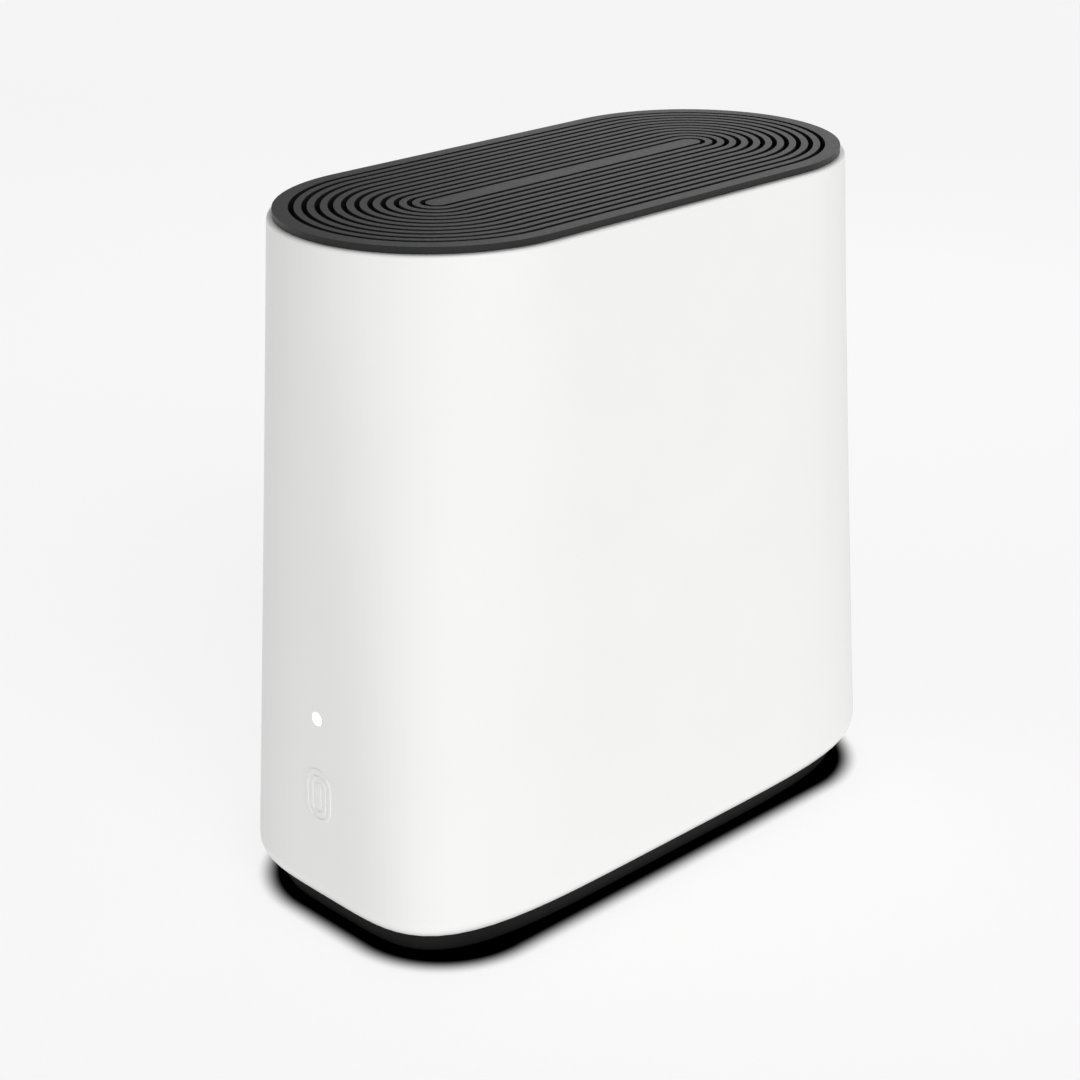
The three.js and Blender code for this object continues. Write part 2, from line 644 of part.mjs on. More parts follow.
// From the bottom of the bay up: each socket's size up the panel, and a share of the height that
// is left between them for the space above it.
const stackSizes = [
  ['power', POWER_JACK_SIZE, 5.5],
  ['sfp', SFP_WIDTH, 5],
  ['wan', JACK_WIDTH, 5.5],
  ['lan_4', JACK_WIDTH, 1.5],
  ['lan_3', JACK_WIDTH, 1.5],
  ['lan_2', JACK_WIDTH, 1.5],
  ['lan_1', JACK_WIDTH, 5],
  ['phone_2', PHONE_WIDTH, 1.5],
  ['phone_1', PHONE_WIDTH, 5],
  ['usb', USB_WIDTH, 2.5],
  ['reset', 2 * (RESET_HOLE_RADIUS + RESET_FLANGE_LIP), 2.2],
  ['pair', 2 * (PAIR_BUTTON_RADIUS + PAIR_FLANGE_LIP), 1],
];
const STACK_FOOT_SHARE = 3.5;
const stackFilled = stackSizes.reduce((sum, [, size]) => sum + size, 0);
const stackShares = stackSizes.reduce((sum, [, , share]) => sum + share, STACK_FOOT_SHARE);
const stackSpace = (bayHeight - 2 * BAY_WALL - stackFilled) / stackShares;
const stack = {};
let stackTop = bayBottom + BAY_WALL + STACK_FOOT_SHARE * stackSpace;
stackSizes.forEach(([name, size, share]) => {
  stack[name] = stackTop + size / 2;
  stackTop += size + share * stackSpace;
});

// ---------------------------------------------------------------- chassis and board

const smallScrewHole = SMALL_SCREW_RADIUS + HOLE_GAP;
const boardScrewPlaces = [
  [boardFront + BOARD_SCREW_EDGE, boardBottom + BOARD_SCREW_EDGE],
  [boardRear - BOARD_SCREW_REAR, boardBottom + BOARD_SCREW_EDGE],
  [boardFront + BOARD_SCREW_EDGE, boardTop - BOARD_SCREW_EDGE],
  [boardRear - BOARD_SCREW_REAR, boardTop - BOARD_SCREW_EDGE],
];
const sinkFront = boardFront + SINK_FRONT_SPACE;
const sinkRear = jackFace - JACK_DEPTH - SINK_JACK_SPACE;
const sinkBottom = stack.sfp + SFP_WIDTH / 2 + SINK_CAGE_SPACE;
const sinkTop = boardTop - SINK_TOP_SPACE;
const sinkScrewPlaces = [sinkBottom + SINK_SCREW_Z, sinkTop - SINK_SCREW_Z].flatMap((z) => [
  [sinkFront + SINK_SCREW_Y, z],
  [sinkRear - SINK_SCREW_Y, z],
]);
const antennaBackX = chassisBackX - ANTENNA_STANDOFF;
const antennaPlaces = [boardFront + ANTENNA_END, boardRear - ANTENNA_END].flatMap((y) => [
  [y, boardTop - ANTENNA_TOP],
  [y, boardTop - ANTENNA_TOP - ANTENNA_STEP],
]);
const canTop = sinkBottom - CAN_SPACE;
const canBottom = canTop - CAN_WIDTH;
const leadHoleZ = canBottom - LEAD_DROP;
const leadHoleY = (index) => boardFront + LEAD_FIRST + LEAD_PITCH * index;

// The chassis: a foot that the base screws clamp and an upright plate that carries the board
// on one face and the antennas on the other.
function chassis() {
  const footInset = WALL + PLINTH_WALL + 2 * GAP + 0.3;
  const footPlate = outlinePlate(shellBottom, footInset, chassisFoot, chassisFootTop);
  const upright = box(chassisBackX, chassisFaceX, boardFront, boardRear, chassisFootTop - 1,
    boardTop + UPRIGHT_RISE);
  const gussets = [boardFront + GUSSET_END, 0, boardRear - GUSSET_END].map((y) =>
    box(chassisBackX - GUSSET_SIZE, chassisBackX + 0.5, y - 1, y + 1, chassisFootTop - 1,
      boardBottom + GUSSET_SIZE));
  const standoffs = boardScrewPlaces.map(([y, z]) => rodX(3.4, y, z, chassisFaceX - 1, boardBackX - GAP));
  const pegs = antennaPlaces.flatMap(([y, z]) => [-1, 1].map((side) =>
    rodX(PEG_RADIUS, y + side * PEG_PLACE, z, antennaBackX + GAP, chassisBackX + 0.5, 12)));
  const screwHoles = boardScrewPlaces.map(([y, z]) =>
    rodX(smallScrewHole, y, z, chassisBackX - 1, boardBackX + 1, 12));
  const baseHoles = screwPlaces.map(([x, y]) =>
    rodZ(SCREW_RADIUS + HOLE_GAP, x, y, chassisFoot - 1, chassisFootTop + 1, 16));
  const leadHoles = antennaPlaces.map((place, index) =>
    rodX(LEAD_RADIUS + 1.6, leadHoleY(index), leadHoleZ, chassisBackX - 1, chassisFaceX + 1, 12));
  const body = join(footPlate, upright, ...gussets, ...standoffs, ...pegs);
  const clearOfPlate = airSlots(chassisFoot - 1, chassisFootTop + 1, SLOT_WIDTH)
    .map((slot) => cut(slot, box(chassisBackX - SLOT_WIDTH, chassisFaceX + SLOT_WIDTH,
      -BASE_LENGTH, BASE_LENGTH, chassisFoot - 2, chassisFootTop + 2)));
  return cut(body, ...screwHoles, ...baseHoles, ...leadHoles, ...clearOfPlate);
}

addPiece('chassis', chassis(), 'grey');

function mainBoard() {
  const plate = box(boardBackX, boardFaceX, boardFront, boardRear, boardBottom, boardTop);
  const holes = [...boardScrewPlaces, ...sinkScrewPlaces].map(([y, z]) =>
    rodX(smallScrewHole, y, z, boardBackX - 1, boardFaceX + 1, 12));
  return cut(plate, ...holes);
}

addPiece('main_board', mainBoard(), 'board');

function smallScrew(y, z, headX, tipX) {
  return join(
    rodX(SMALL_HEAD_RADIUS, y, z, headX, headX + SMALL_HEAD_HEIGHT, 16),
    rodX(SMALL_SCREW_RADIUS, y, z, tipX, headX + 0.5, 10),
  );
}

boardScrewPlaces.forEach(([y, z], index) =>
  addPiece(`board_screw_${index + 1}`, smallScrew(y, z, partFaceX, chassisBackX + 0.6), 'steel'));

// ---------------------------------------------------------------- cooling

const processorY = (sinkFront + sinkRear) / 2;
const processorZ = (sinkBottom + sinkTop) / 2;
const padX = partFaceX + PROCESSOR_HEIGHT + GAP;
const sinkX = padX + PAD_THICKNESS + GAP;

function squareOnBoard(y, z, size, x0, x1) {
  return box(x0, x1, y - size / 2, y + size / 2, z - size / 2, z + size / 2);
}

addPiece('processor', squareOnBoard(processorY, processorZ, PROCESSOR_SIZE, partFaceX,
  partFaceX + PROCESSOR_HEIGHT), 'chip');
addPiece('processor_pad', squareOnBoard(processorY, processorZ, PROCESSOR_SIZE + 2 * PAD_MARGIN,
  padX, padX + PAD_THICKNESS), 'grey');

// The finned heat sink: upright fins on a plate, so the air rises between them to the vents.
function heatSink() {
  const plate = box(sinkX, sinkX + SINK_BASE, sinkFront, sinkRear, sinkBottom, sinkTop);
  const finTip = BASE_WIDTH / 2 - TAPER_WIDTH - WALL - SINK_SIDE_SPACE;
  const finSpan = sinkRear - sinkFront - 2 * SINK_LUG;
  const finCount = Math.floor((finSpan - FIN_THICKNESS) / FIN_PITCH) + 1;
  const first = (sinkFront + sinkRear) / 2 - ((finCount - 1) * FIN_PITCH) / 2;
  const fins = [];
  for (let fin = 0; fin < finCount; fin += 1) {
    const y = first + fin * FIN_PITCH;
    fins.push(box(sinkX + 1, finTip, y - FIN_THICKNESS / 2, y + FIN_THICKNESS / 2,
      sinkBottom, sinkTop));
  }
  const holes = sinkScrewPlaces.map(([y, z]) => (
    rodX(smallScrewHole, y, z, sinkX - 1, sinkX + SINK_BASE + 1, 12)));
  return cut(join(plate, ...fins), ...holes);
}

addPiece('heat_sink', heatSink(), 'aluminium');

const rearPadX = boardBackX - GAP - PAD_THICKNESS;
const spreaderX = rearPadX - GAP - SPREADER_THICKNESS;

// A plain aluminium sheet that draws heat from the back of the board.
function heatSpreader() {
  const sheet = box(spreaderX, spreaderX + SPREADER_THICKNESS, sinkFront, sinkRear, sinkBottom, sinkTop);
  return cut(sheet, ...sinkScrewPlaces.map(([y, z]) =>
    rodX(smallScrewHole, y, z, spreaderX - 1, spreaderX + SPREADER_THICKNESS + 1, 12)));
}

addPiece('rear_pad', squareOnBoard(processorY, processorZ, PROCESSOR_SIZE + 2 * REAR_PAD_MARGIN,
  rearPadX, rearPadX + PAD_THICKNESS), 'grey');
addPiece('heat_spreader', heatSpreader(), 'aluminium');

sinkScrewPlaces.forEach(([y, z], index) =>
  addPiece(`heat_sink_screw_${index + 1}`,
    smallScrew(y, z, sinkX + SINK_BASE + GAP, spreaderX + 0.2), 'steel'));

// ---------------------------------------------------------------- parts on the board

const memoryY = processorY + PROCESSOR_SIZE / 2 + MEMORY_SPACE;
[processorZ + MEMORY_LENGTH / 2 + 1, processorZ - MEMORY_LENGTH / 2 - 1].forEach((z, index) =>
  addPiece(`memory_chip_${index + 1}`, box(partFaceX, partFaceX + MEMORY_HEIGHT, memoryY,
    memoryY + MEMORY_WIDTH, z - MEMORY_LENGTH / 2, z + MEMORY_LENGTH / 2), 'chip'));

// Stamped cans over the three radio sections, each a lid with short walls down to the board.
function radioCan(y0) {
  const x0 = boardBackX - GAP - CAN_HEIGHT;
  const y1 = y0 + CAN_LENGTH;
  const outside = box(x0, boardBackX - GAP, y0, y1, canBottom, canTop);
  return cut(outside, box(x0 + CAN_SHEET, boardBackX, y0 + CAN_SHEET, y1 - CAN_SHEET,
    canBottom + CAN_SHEET, canTop - CAN_SHEET));
}

const bands = ['low_band', 'mid_band', 'high_band'];
const canPitch = (boardRear - boardFront - 2 * CAN_END - CAN_LENGTH) / (bands.length - 1);
bands.forEach((band, index) =>
  addPiece(`radio_can_${band}`, radioCan(boardFront + CAN_END + index * canPitch), 'tin'));

addPiece('power_capacitor', rodX(CAPACITOR_RADIUS, boardRear - CAPACITOR_REAR, boardBottom + CAPACITOR_RISE,
  partFaceX, partFaceX + CAPACITOR_LENGTH), 'tin');

// ---------------------------------------------------------------- port bay and sockets

const powerX = partFaceX + POWER_JACK_SIZE / 2;
const sfpX = partFaceX + SFP_HEIGHT / 2;
const phoneX = partFaceX + PHONE_HEIGHT / 2;
const usbX = partFaceX + USB_HEIGHT / 2 + 0.6;
const buttonX = 0;

const PLUG_HEIGHT = 8.4;           // the network socket's hollow, across the panel
const PLUG_WIDTH = 11.9;           // and up the panel
const PLUG_DEPTH = 14;
const PHONE_PLUG_HEIGHT = 6.8;
const PHONE_PLUG_WIDTH = 9.8;
const PHONE_PLUG_DEPTH = 12;
const LATCH_WIDTH = 6;
const LATCH_DEPTH = 2.6;

// The tray of the port bay: side walls that follow the sleeve's surface, and a panel with a
// window for each socket.
function portPanel() {
  const middle = (bayBottom + bayTop) / 2;
  const outside = panelPrism(BAY_WIDTH, bayHeight, BAY_CORNER, 0, middle, panelBack, BASE_LENGTH / 2 + 5);
  const hollow = panelPrism(BAY_WIDTH - 2 * BAY_WALL, bayHeight - 2 * BAY_WALL, BAY_CORNER - BAY_WALL,
    0, middle, panelFace, BASE_LENGTH / 2 + 6);
  const window = (width, height, radius, x, z) =>
    panelPrism(width, height, radius, x, z, panelBack - 1, panelFace + 1, 1);
  const windows = [
    rodY(POWER_BORE + 1.4, powerX, stack.power, panelBack - 1, panelFace + 1),
    window(SFP_HEIGHT - 0.2, SFP_WIDTH - 0.2, 0.8, sfpX, stack.sfp),
    window(USB_HEIGHT + 1, USB_WIDTH + 1, 1.9, usbX, stack.usb),
    rodY(RESET_HOLE_RADIUS, buttonX, stack.reset, panelBack - 1, panelFace + 1, 16),
    rodY(PAIR_BUTTON_RADIUS + SLIDE_GAP, buttonX, stack.pair, panelBack - 1, panelFace + 1, 28),
    ...['wan', 'lan_4', 'lan_3', 'lan_2', 'lan_1'].map((name) =>
      window(PLUG_HEIGHT + LATCH_DEPTH + 1.2, PLUG_WIDTH + 1.2, 0.8, 0, stack[name])),
    ...['phone_2', 'phone_1'].map((name) =>
      window(PHONE_PLUG_HEIGHT + LATCH_DEPTH + 0.8, PHONE_PLUG_WIDTH + 0.8, 0.8, phoneX, stack[name])),
  ];
  return cut(outside.intersect(sleeveSolid(0.5)), hollow, ...windows);
}

addPiece('port_panel', portPanel(), 'black');

// A plug socket with its latch slot, lying on the board with its mouth to the panel.
function plugJack(x, z, body, plug) {
  const block = box(x - body.height / 2, x + body.height / 2, jackFace - body.depth, jackFace,
    z - body.width / 2, z + body.width / 2);
  const hollowX = x + LATCH_DEPTH / 2;
  const mouth = box(hollowX - plug.height / 2, hollowX + plug.height / 2, jackFace - plug.depth, jackFace + 1,
    z - plug.width / 2, z + plug.width / 2);
  const latch = box(hollowX - plug.height / 2 - LATCH_DEPTH, hollowX, jackFace - plug.depth + 2, jackFace + 1,
    z - LATCH_WIDTH / 2, z + LATCH_WIDTH / 2);
  return cut(block, mouth, latch);
}

const networkBody = { height: JACK_HEIGHT, width: JACK_WIDTH, depth: JACK_DEPTH };
const networkPlug = { height: PLUG_HEIGHT, width: PLUG_WIDTH, depth: PLUG_DEPTH };
const phoneBody = { height: PHONE_HEIGHT, width: PHONE_WIDTH, depth: PHONE_DEPTH };
const phonePlug = { height: PHONE_PLUG_HEIGHT, width: PHONE_PLUG_WIDTH, depth: PHONE_PLUG_DEPTH };

[1, 2, 3, 4].forEach((number) =>
  addPiece(`lan_jack_${number}`, plugJack(0, stack[`lan_${number}`], networkBody, networkPlug), 'yellow'));
addPiece('wan_jack', plugJack(0, stack.wan, networkBody, networkPlug), 'red');
[1, 2].forEach((number) =>
  addPiece(`phone_jack_${number}`, plugJack(phoneX, stack[`phone_${number}`], phoneBody, phonePlug), 'grey'));

// The pressed-steel cage for a fibre module, open at the panel.
function moduleCage() {
  const y0 = jackFace - SFP_DEPTH;
  const outside = box(sfpX - SFP_HEIGHT / 2, sfpX + SFP_HEIGHT / 2, y0, jackFace,
    stack.sfp - SFP_WIDTH / 2, stack.sfp + SFP_WIDTH / 2);
  const hollow = box(sfpX - SFP_HEIGHT / 2 + SFP_WALL, sfpX + SFP_HEIGHT / 2 - SFP_WALL, y0 + 1, jackFace + 1,
    stack.sfp - SFP_WIDTH / 2 + SFP_WALL, stack.sfp + SFP_WIDTH / 2 - SFP_WALL);
  return cut(outside, hollow);
}

addPiece('fibre_module_cage', moduleCage(), 'tin');

// The reversible data socket: an oval steel sleeve with a tongue in the middle.
function dataSocket() {
  const y0 = jackFace - USB_DEPTH;
  const sleeveBody = panelPrism(USB_HEIGHT, USB_WIDTH, USB_HEIGHT / 2, usbX, stack.usb, y0, jackFace);
  const hollow = panelPrism(USB_HEIGHT - 0.7, USB_WIDTH - 0.7, USB_HEIGHT / 2 - 0.35, usbX, stack.usb,
    y0 + 1, jackFace + 1);
  const tongue = box(usbX - 0.35, usbX + 0.35, y0 + 0.5, jackFace - 0.8, stack.usb - 3.3, stack.usb + 3.3);
  return join(cut(sleeveBody, hollow), tongue);
}

addPiece('data_socket', dataSocket(), 'tin');

// The round low-voltage inlet, with its centre pin.
function powerJack() {
  const half = POWER_JACK_SIZE / 2;
  const y0 = jackFace - POWER_JACK_DEPTH;
  const block = box(powerX - half, powerX + half, y0, jackFace, stack.power - half, stack.power + half);
  const bore = rodY(POWER_BORE, powerX, stack.power, jackFace - 9.5, jackFace + 1);
  const pin = rodY(POWER_PIN, powerX, stack.power, y0 + 1, jackFace - 0.8, 12);
  return join(cut(block, bore), pin);
}

addPiece('power_jack', powerJack(), 'black');

// ---------------------------------------------------------------- buttons

const SWITCH_DEPTH = 4.5;
const SWITCH_FACE = jackFace - 9;  // the switches' faces, which the stems enter
const STEM_ENTRY = 0.4;
const STEM_RADIUS = 1.2;
const RESET_SUNK = 1.2;            // the reset button's face below the panel's
const PAIR_SWITCH = 6;
const RESET_SWITCH = 4.4;

// A push button held behind the panel by its flange, with a stem into its switch.
function pushButton(z, capRadius, capFace, flangeRadius) {
  return join(
    rodY(capRadius, buttonX, z, jackFace - 0.5, capFace, 28),
    rodY(flangeRadius, buttonX, z, jackFace - BUTTON_FLANGE, jackFace, 24),
    rodY(STEM_RADIUS, buttonX, z, SWITCH_FACE - STEM_ENTRY, jackFace - BUTTON_FLANGE + 0.5, 12),
  );
}

function pushSwitch(z, size) {
  const block = box(
    partFaceX, buttonX + 2.4, SWITCH_FACE - SWITCH_DEPTH, SWITCH_FACE, z - size / 2, z + size / 2);
  return cut(block, rodY(STEM_RADIUS + SLIDE_GAP, buttonX, z, SWITCH_FACE - 2.2, SWITCH_FACE + 1, 16));
}

addPiece('pairing_button', pushButton(stack.pair, PAIR_BUTTON_RADIUS, panelFace + PAIR_BUTTON_PROUD,
  PAIR_BUTTON_RADIUS + PAIR_FLANGE_LIP), 'white');
addPiece('pairing_switch', pushSwitch(stack.pair, PAIR_SWITCH), 'chip');
addPiece('reset_button', pushButton(stack.reset, RESET_HOLE_RADIUS - SLIDE_GAP, panelFace - RESET_SUNK,
  RESET_HOLE_RADIUS + RESET_FLANGE_LIP), 'red');
addPiece('reset_switch', pushSwitch(stack.reset, RESET_SWITCH), 'chip');

// ---------------------------------------------------------------- status light

const ledBoardRear = boardFront - GAP;
const ledBoardFront = ledBoardRear - BOARD_THICKNESS;
const ledFace = ledBoardFront - GAP - 1.2;
const pipeInner = ledFace - GAP;
const collarRear = pipeInner - 4;
const collarFront = lightFront + WALL + GUIDE_DEPTH + GAP;

const ledBoardHalf = LIGHT_BOARD_LAP - boardFaceX;
addPiece('light_board', box(-ledBoardHalf, ledBoardHalf, ledBoardFront, ledBoardRear,
  lightZ - LIGHT_BOARD_HEIGHT / 2, lightZ + LIGHT_BOARD_HEIGHT / 2), 'board');
addPiece('status_led', box(-1.6, 1.6, ledFace, ledBoardFront - GAP, lightZ - 1.6, lightZ + 1.6), 'label');

// The clear pipe that carries the light to the front, with a collar behind its guide.
function lightPipe() {
  return join(
    rodY(LIGHT_RADIUS, 0, lightZ, lightFront, pipeInner, 24),
    rodY(LIGHT_RADIUS + PIPE_COLLAR, 0, lightZ, collarFront, collarRear, 24),
  );
}

addPiece('light_pipe', lightPipe(), 'clear');

// ---------------------------------------------------------------- antennas

antennaPlaces.forEach(([y, z], index) =>
  addPiece(`antenna_${index + 1}`, box(antennaBackX - ANTENNA_THICKNESS, antennaBackX,
    y - ANTENNA_LENGTH / 2, y + ANTENNA_LENGTH / 2, z - ANTENNA_HEIGHT / 2, z + ANTENNA_HEIGHT / 2), 'board'));

// A thin coaxial lead from each antenna, down the chassis and through its hole to the board.
function antennaLead(index) {
  const [y, z] = antennaPlaces[index];
  const startX = antennaBackX - ANTENNA_THICKNESS - GAP - LEAD_RADIUS;
  const holeY = leadHoleY(index);
  const level = index % 2 === 0 ? 3.2 : 0;
  const runX = chassisBackX - 3 - level;
  const side = Math.sign(y) * (ANTENNA_LENGTH / 2 - 4);
  const route = new THREE.CatmullRomCurve3([
    new THREE.Vector3(startX, y - side * 0.2, z),
    new THREE.Vector3(startX - 0.4, y - side * 0.9, z - 3),
    new THREE.Vector3(startX, y - side * 1.25, z - 14),
    new THREE.Vector3(runX, y - side * 1.35, z - 30),
    new THREE.Vector3(runX, (y - side * 1.35) * 0.5 + holeY * 0.5, (z + leadHoleZ) / 2 - 12),
    new THREE.Vector3(runX, holeY, leadHoleZ + 12),
    new THREE.Vector3(chassisBackX - 2.4, holeY, leadHoleZ + 2),
    new THREE.Vector3(chassisFaceX - 0.6, holeY, leadHoleZ),
    new THREE.Vector3(boardBackX - GAP, holeY, leadHoleZ),
  ], false, 'centripetal');
  const section = new THREE.Shape();
  section.absarc(0, 0, LEAD_RADIUS, 0, Math.PI * 2);
  const geometry = new THREE.ExtrudeGeometry(section, {
    steps: 26,
    curveSegments: 4,
    bevelEnabled: false,
    extrudePath: route,
  });
  return solid(geometry);
}

antennaPlaces.forEach((place, index) => addPiece(`antenna_lead_${index + 1}`, antennaLead(index), 'black'));

export default router;
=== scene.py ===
import math

import bpy
from mathutils import Matrix, Vector


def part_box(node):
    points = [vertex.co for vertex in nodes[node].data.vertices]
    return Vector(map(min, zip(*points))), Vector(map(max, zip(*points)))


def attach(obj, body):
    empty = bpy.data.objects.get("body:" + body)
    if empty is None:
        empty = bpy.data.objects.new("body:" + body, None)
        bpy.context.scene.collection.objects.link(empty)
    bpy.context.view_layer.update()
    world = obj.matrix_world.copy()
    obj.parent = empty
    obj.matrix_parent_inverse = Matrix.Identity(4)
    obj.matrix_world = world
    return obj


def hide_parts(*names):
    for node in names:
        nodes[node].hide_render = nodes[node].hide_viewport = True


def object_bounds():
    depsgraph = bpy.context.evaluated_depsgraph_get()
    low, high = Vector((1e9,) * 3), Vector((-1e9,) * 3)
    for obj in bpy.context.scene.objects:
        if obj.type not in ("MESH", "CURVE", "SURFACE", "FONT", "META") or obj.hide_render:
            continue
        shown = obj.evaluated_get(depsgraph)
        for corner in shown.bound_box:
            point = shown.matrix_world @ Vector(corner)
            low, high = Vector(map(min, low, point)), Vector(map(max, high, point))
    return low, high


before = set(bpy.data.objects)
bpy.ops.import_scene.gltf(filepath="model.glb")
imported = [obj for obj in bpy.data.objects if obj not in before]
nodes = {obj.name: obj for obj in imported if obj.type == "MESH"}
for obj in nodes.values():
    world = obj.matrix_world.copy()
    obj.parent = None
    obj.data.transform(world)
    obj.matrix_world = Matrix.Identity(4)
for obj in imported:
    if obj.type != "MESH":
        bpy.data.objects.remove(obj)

cad_low, cad_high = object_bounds()
MM = 0.001

# ---------------------------------------------------------------- camera, floor and light
# A pale floor that gives off some light of its own, under one wide soft sun and a pale sky, seen
# from above the router's top over its front corner through a long lens. The camera's place is
# taken from the middle of the vent plate.

CAMERA_AZIMUTH = math.radians(46.21)
CAMERA_ELEVATION = math.radians(22.92)
CAMERA_ROLL = math.radians(0.43)
CAMERA_LENS = 76.03
CAMERA_FROM_TOP = Vector((0.5264, -0.5194, 0.1805))

back = Vector((
    math.sin(CAMERA_AZIMUTH) * math.cos(CAMERA_ELEVATION),
    -math.cos(CAMERA_AZIMUTH) * math.cos(CAMERA_ELEVATION),
    math.sin(CAMERA_ELEVATION),
))
level = Vector((math.cos(CAMERA_AZIMUTH), math.sin(CAMERA_AZIMUTH), 0))
upright = back.cross(level)
right = level * math.cos(CAMERA_ROLL) - upright * math.sin(CAMERA_ROLL)
up = upright * math.cos(CAMERA_ROLL) + level * math.sin(CAMERA_ROLL)
bpy.ops.object.camera_add()
camera = bpy.context.object
camera.data.lens = CAMERA_LENS
camera.data.clip_end = 50
camera.matrix_world = Matrix.Translation(CAMERA_FROM_TOP + Vector((0, 0, cad_high.z))) @ Matrix(
    (right, up, back)).transposed().to_4x4()
bpy.context.scene.camera = camera
bpy.context.scene.view_settings.view_transform = "Standard"

FLOOR_SIZE = 30
SKY_STRENGTH = 0.3
HORIZON_STRENGTH = 0.96
HORIZON_LOW = 0.04
HORIZON_HIGH = 0.2
KEY_STRENGTH = 1.5
KEY_SPREAD = 50
KEY_AZIMUTH = 66
KEY_ELEVATION = 26
SHEEN_PLACE = Vector((-0.42, 0.62, 0.62))
SHEEN_AIM = Vector((0, 0.1, 0.24))
SHEEN_SIZE = 0.5
SHEEN_ENERGY = 0.8


def begin():
    """Leaves nothing selected, so that the next operator acts on the new piece alone."""
    if bpy.context.mode != "OBJECT":
        bpy.ops.object.mode_set(mode="OBJECT")
    bpy.ops.object.select_all(action="DESELECT")


def soft_sun(name, strength, spread, azimuth, elevation):
    """A wide, even light from a direction: azimuth 0 is in front, turning towards the right."""
    begin()
    turn, rise = math.radians(azimuth), math.radians(elevation)
    source = Vector((math.sin(turn) * math.cos(rise), -math.cos(turn) * math.cos(rise), math.sin(rise)))
    bpy.ops.object.light_add(type="SUN", location=source * 2)
    lamp = bpy.context.object
    lamp.name = name
    lamp.data.energy = strength
    lamp.data.angle = math.radians(spread)
    lamp.rotation_euler = source.to_track_quat("Z", "Y").to_euler()


begin()
bpy.ops.mesh.primitive_plane_add(size=FLOOR_SIZE)
floor = bpy.context.object
floor.name = "floor"

# The sky is as pale as the floor at the horizon and dims above it.
sky = bpy.data.worlds.new("sky")
sky.use_nodes = True
sky_nodes = sky.node_tree.nodes
sky_links = sky.node_tree.links
direction = sky_nodes.new("ShaderNodeTexCoord")
parts = sky_nodes.new("ShaderNodeSeparateXYZ")
fade = sky_nodes.new("ShaderNodeMapRange")
fade.inputs["From Min"].default_value = HORIZON_LOW
fade.inputs["From Max"].default_value = HORIZON_HIGH
fade.inputs["To Min"].default_value = HORIZON_STRENGTH
fade.inputs["To Max"].default_value = SKY_STRENGTH
sky_links.new(direction.outputs["Generated"], parts.inputs["Vector"])
sky_links.new(parts.outputs["Z"], fade.inputs["Value"])
sky_links.new(fade.outputs["Result"], sky_nodes["Background"].inputs["Strength"])
sky_nodes["Background"].inputs["Color"].default_value = (1, 1, 1, 1)
bpy.context.scene.world = sky

soft_sun("key", KEY_STRENGTH, KEY_SPREAD, KEY_AZIMUTH, KEY_ELEVATION)

begin()
bpy.ops.object.light_add(type="AREA", location=SHEEN_PLACE)
sheen = bpy.context.object
sheen.name = "plate_sheen"
sheen.data.size = SHEEN_SIZE
sheen.data.energy = SHEEN_ENERGY
sheen.rotation_euler = (SHEEN_PLACE - SHEEN_AIM).to_track_quat("Z", "Y").to_euler()


class Socket:
    """A value in a material, so that shader maths reads as arithmetic."""

    def __init__(self, finish, socket):
        self.finish = finish
        self.socket = socket

    def math(self, operation, *others):
        values = dict(enumerate((self, *others)))
        return self.finish.node("ShaderNodeMath", {"operation": operation}, values)

    def __add__(self, other):
        return self.math("ADD", other)

    def __radd__(self, other):
        return self + other

    def __sub__(self, other):
        return self.math("SUBTRACT", other)

    def __rsub__(self, other):
        return self.math("MULTIPLY_ADD", -1.0, other)

    def __mul__(self, other):
        return self.math("MULTIPLY", other)

    def __rmul__(self, other):
        return self * other

    def __lt__(self, other):
        return self.math("LESS_THAN", other)

    def __gt__(self, other):
        return self.math("GREATER_THAN", other)

    def __mod__(self, other):
        return self.math("FLOORED_MODULO", other)


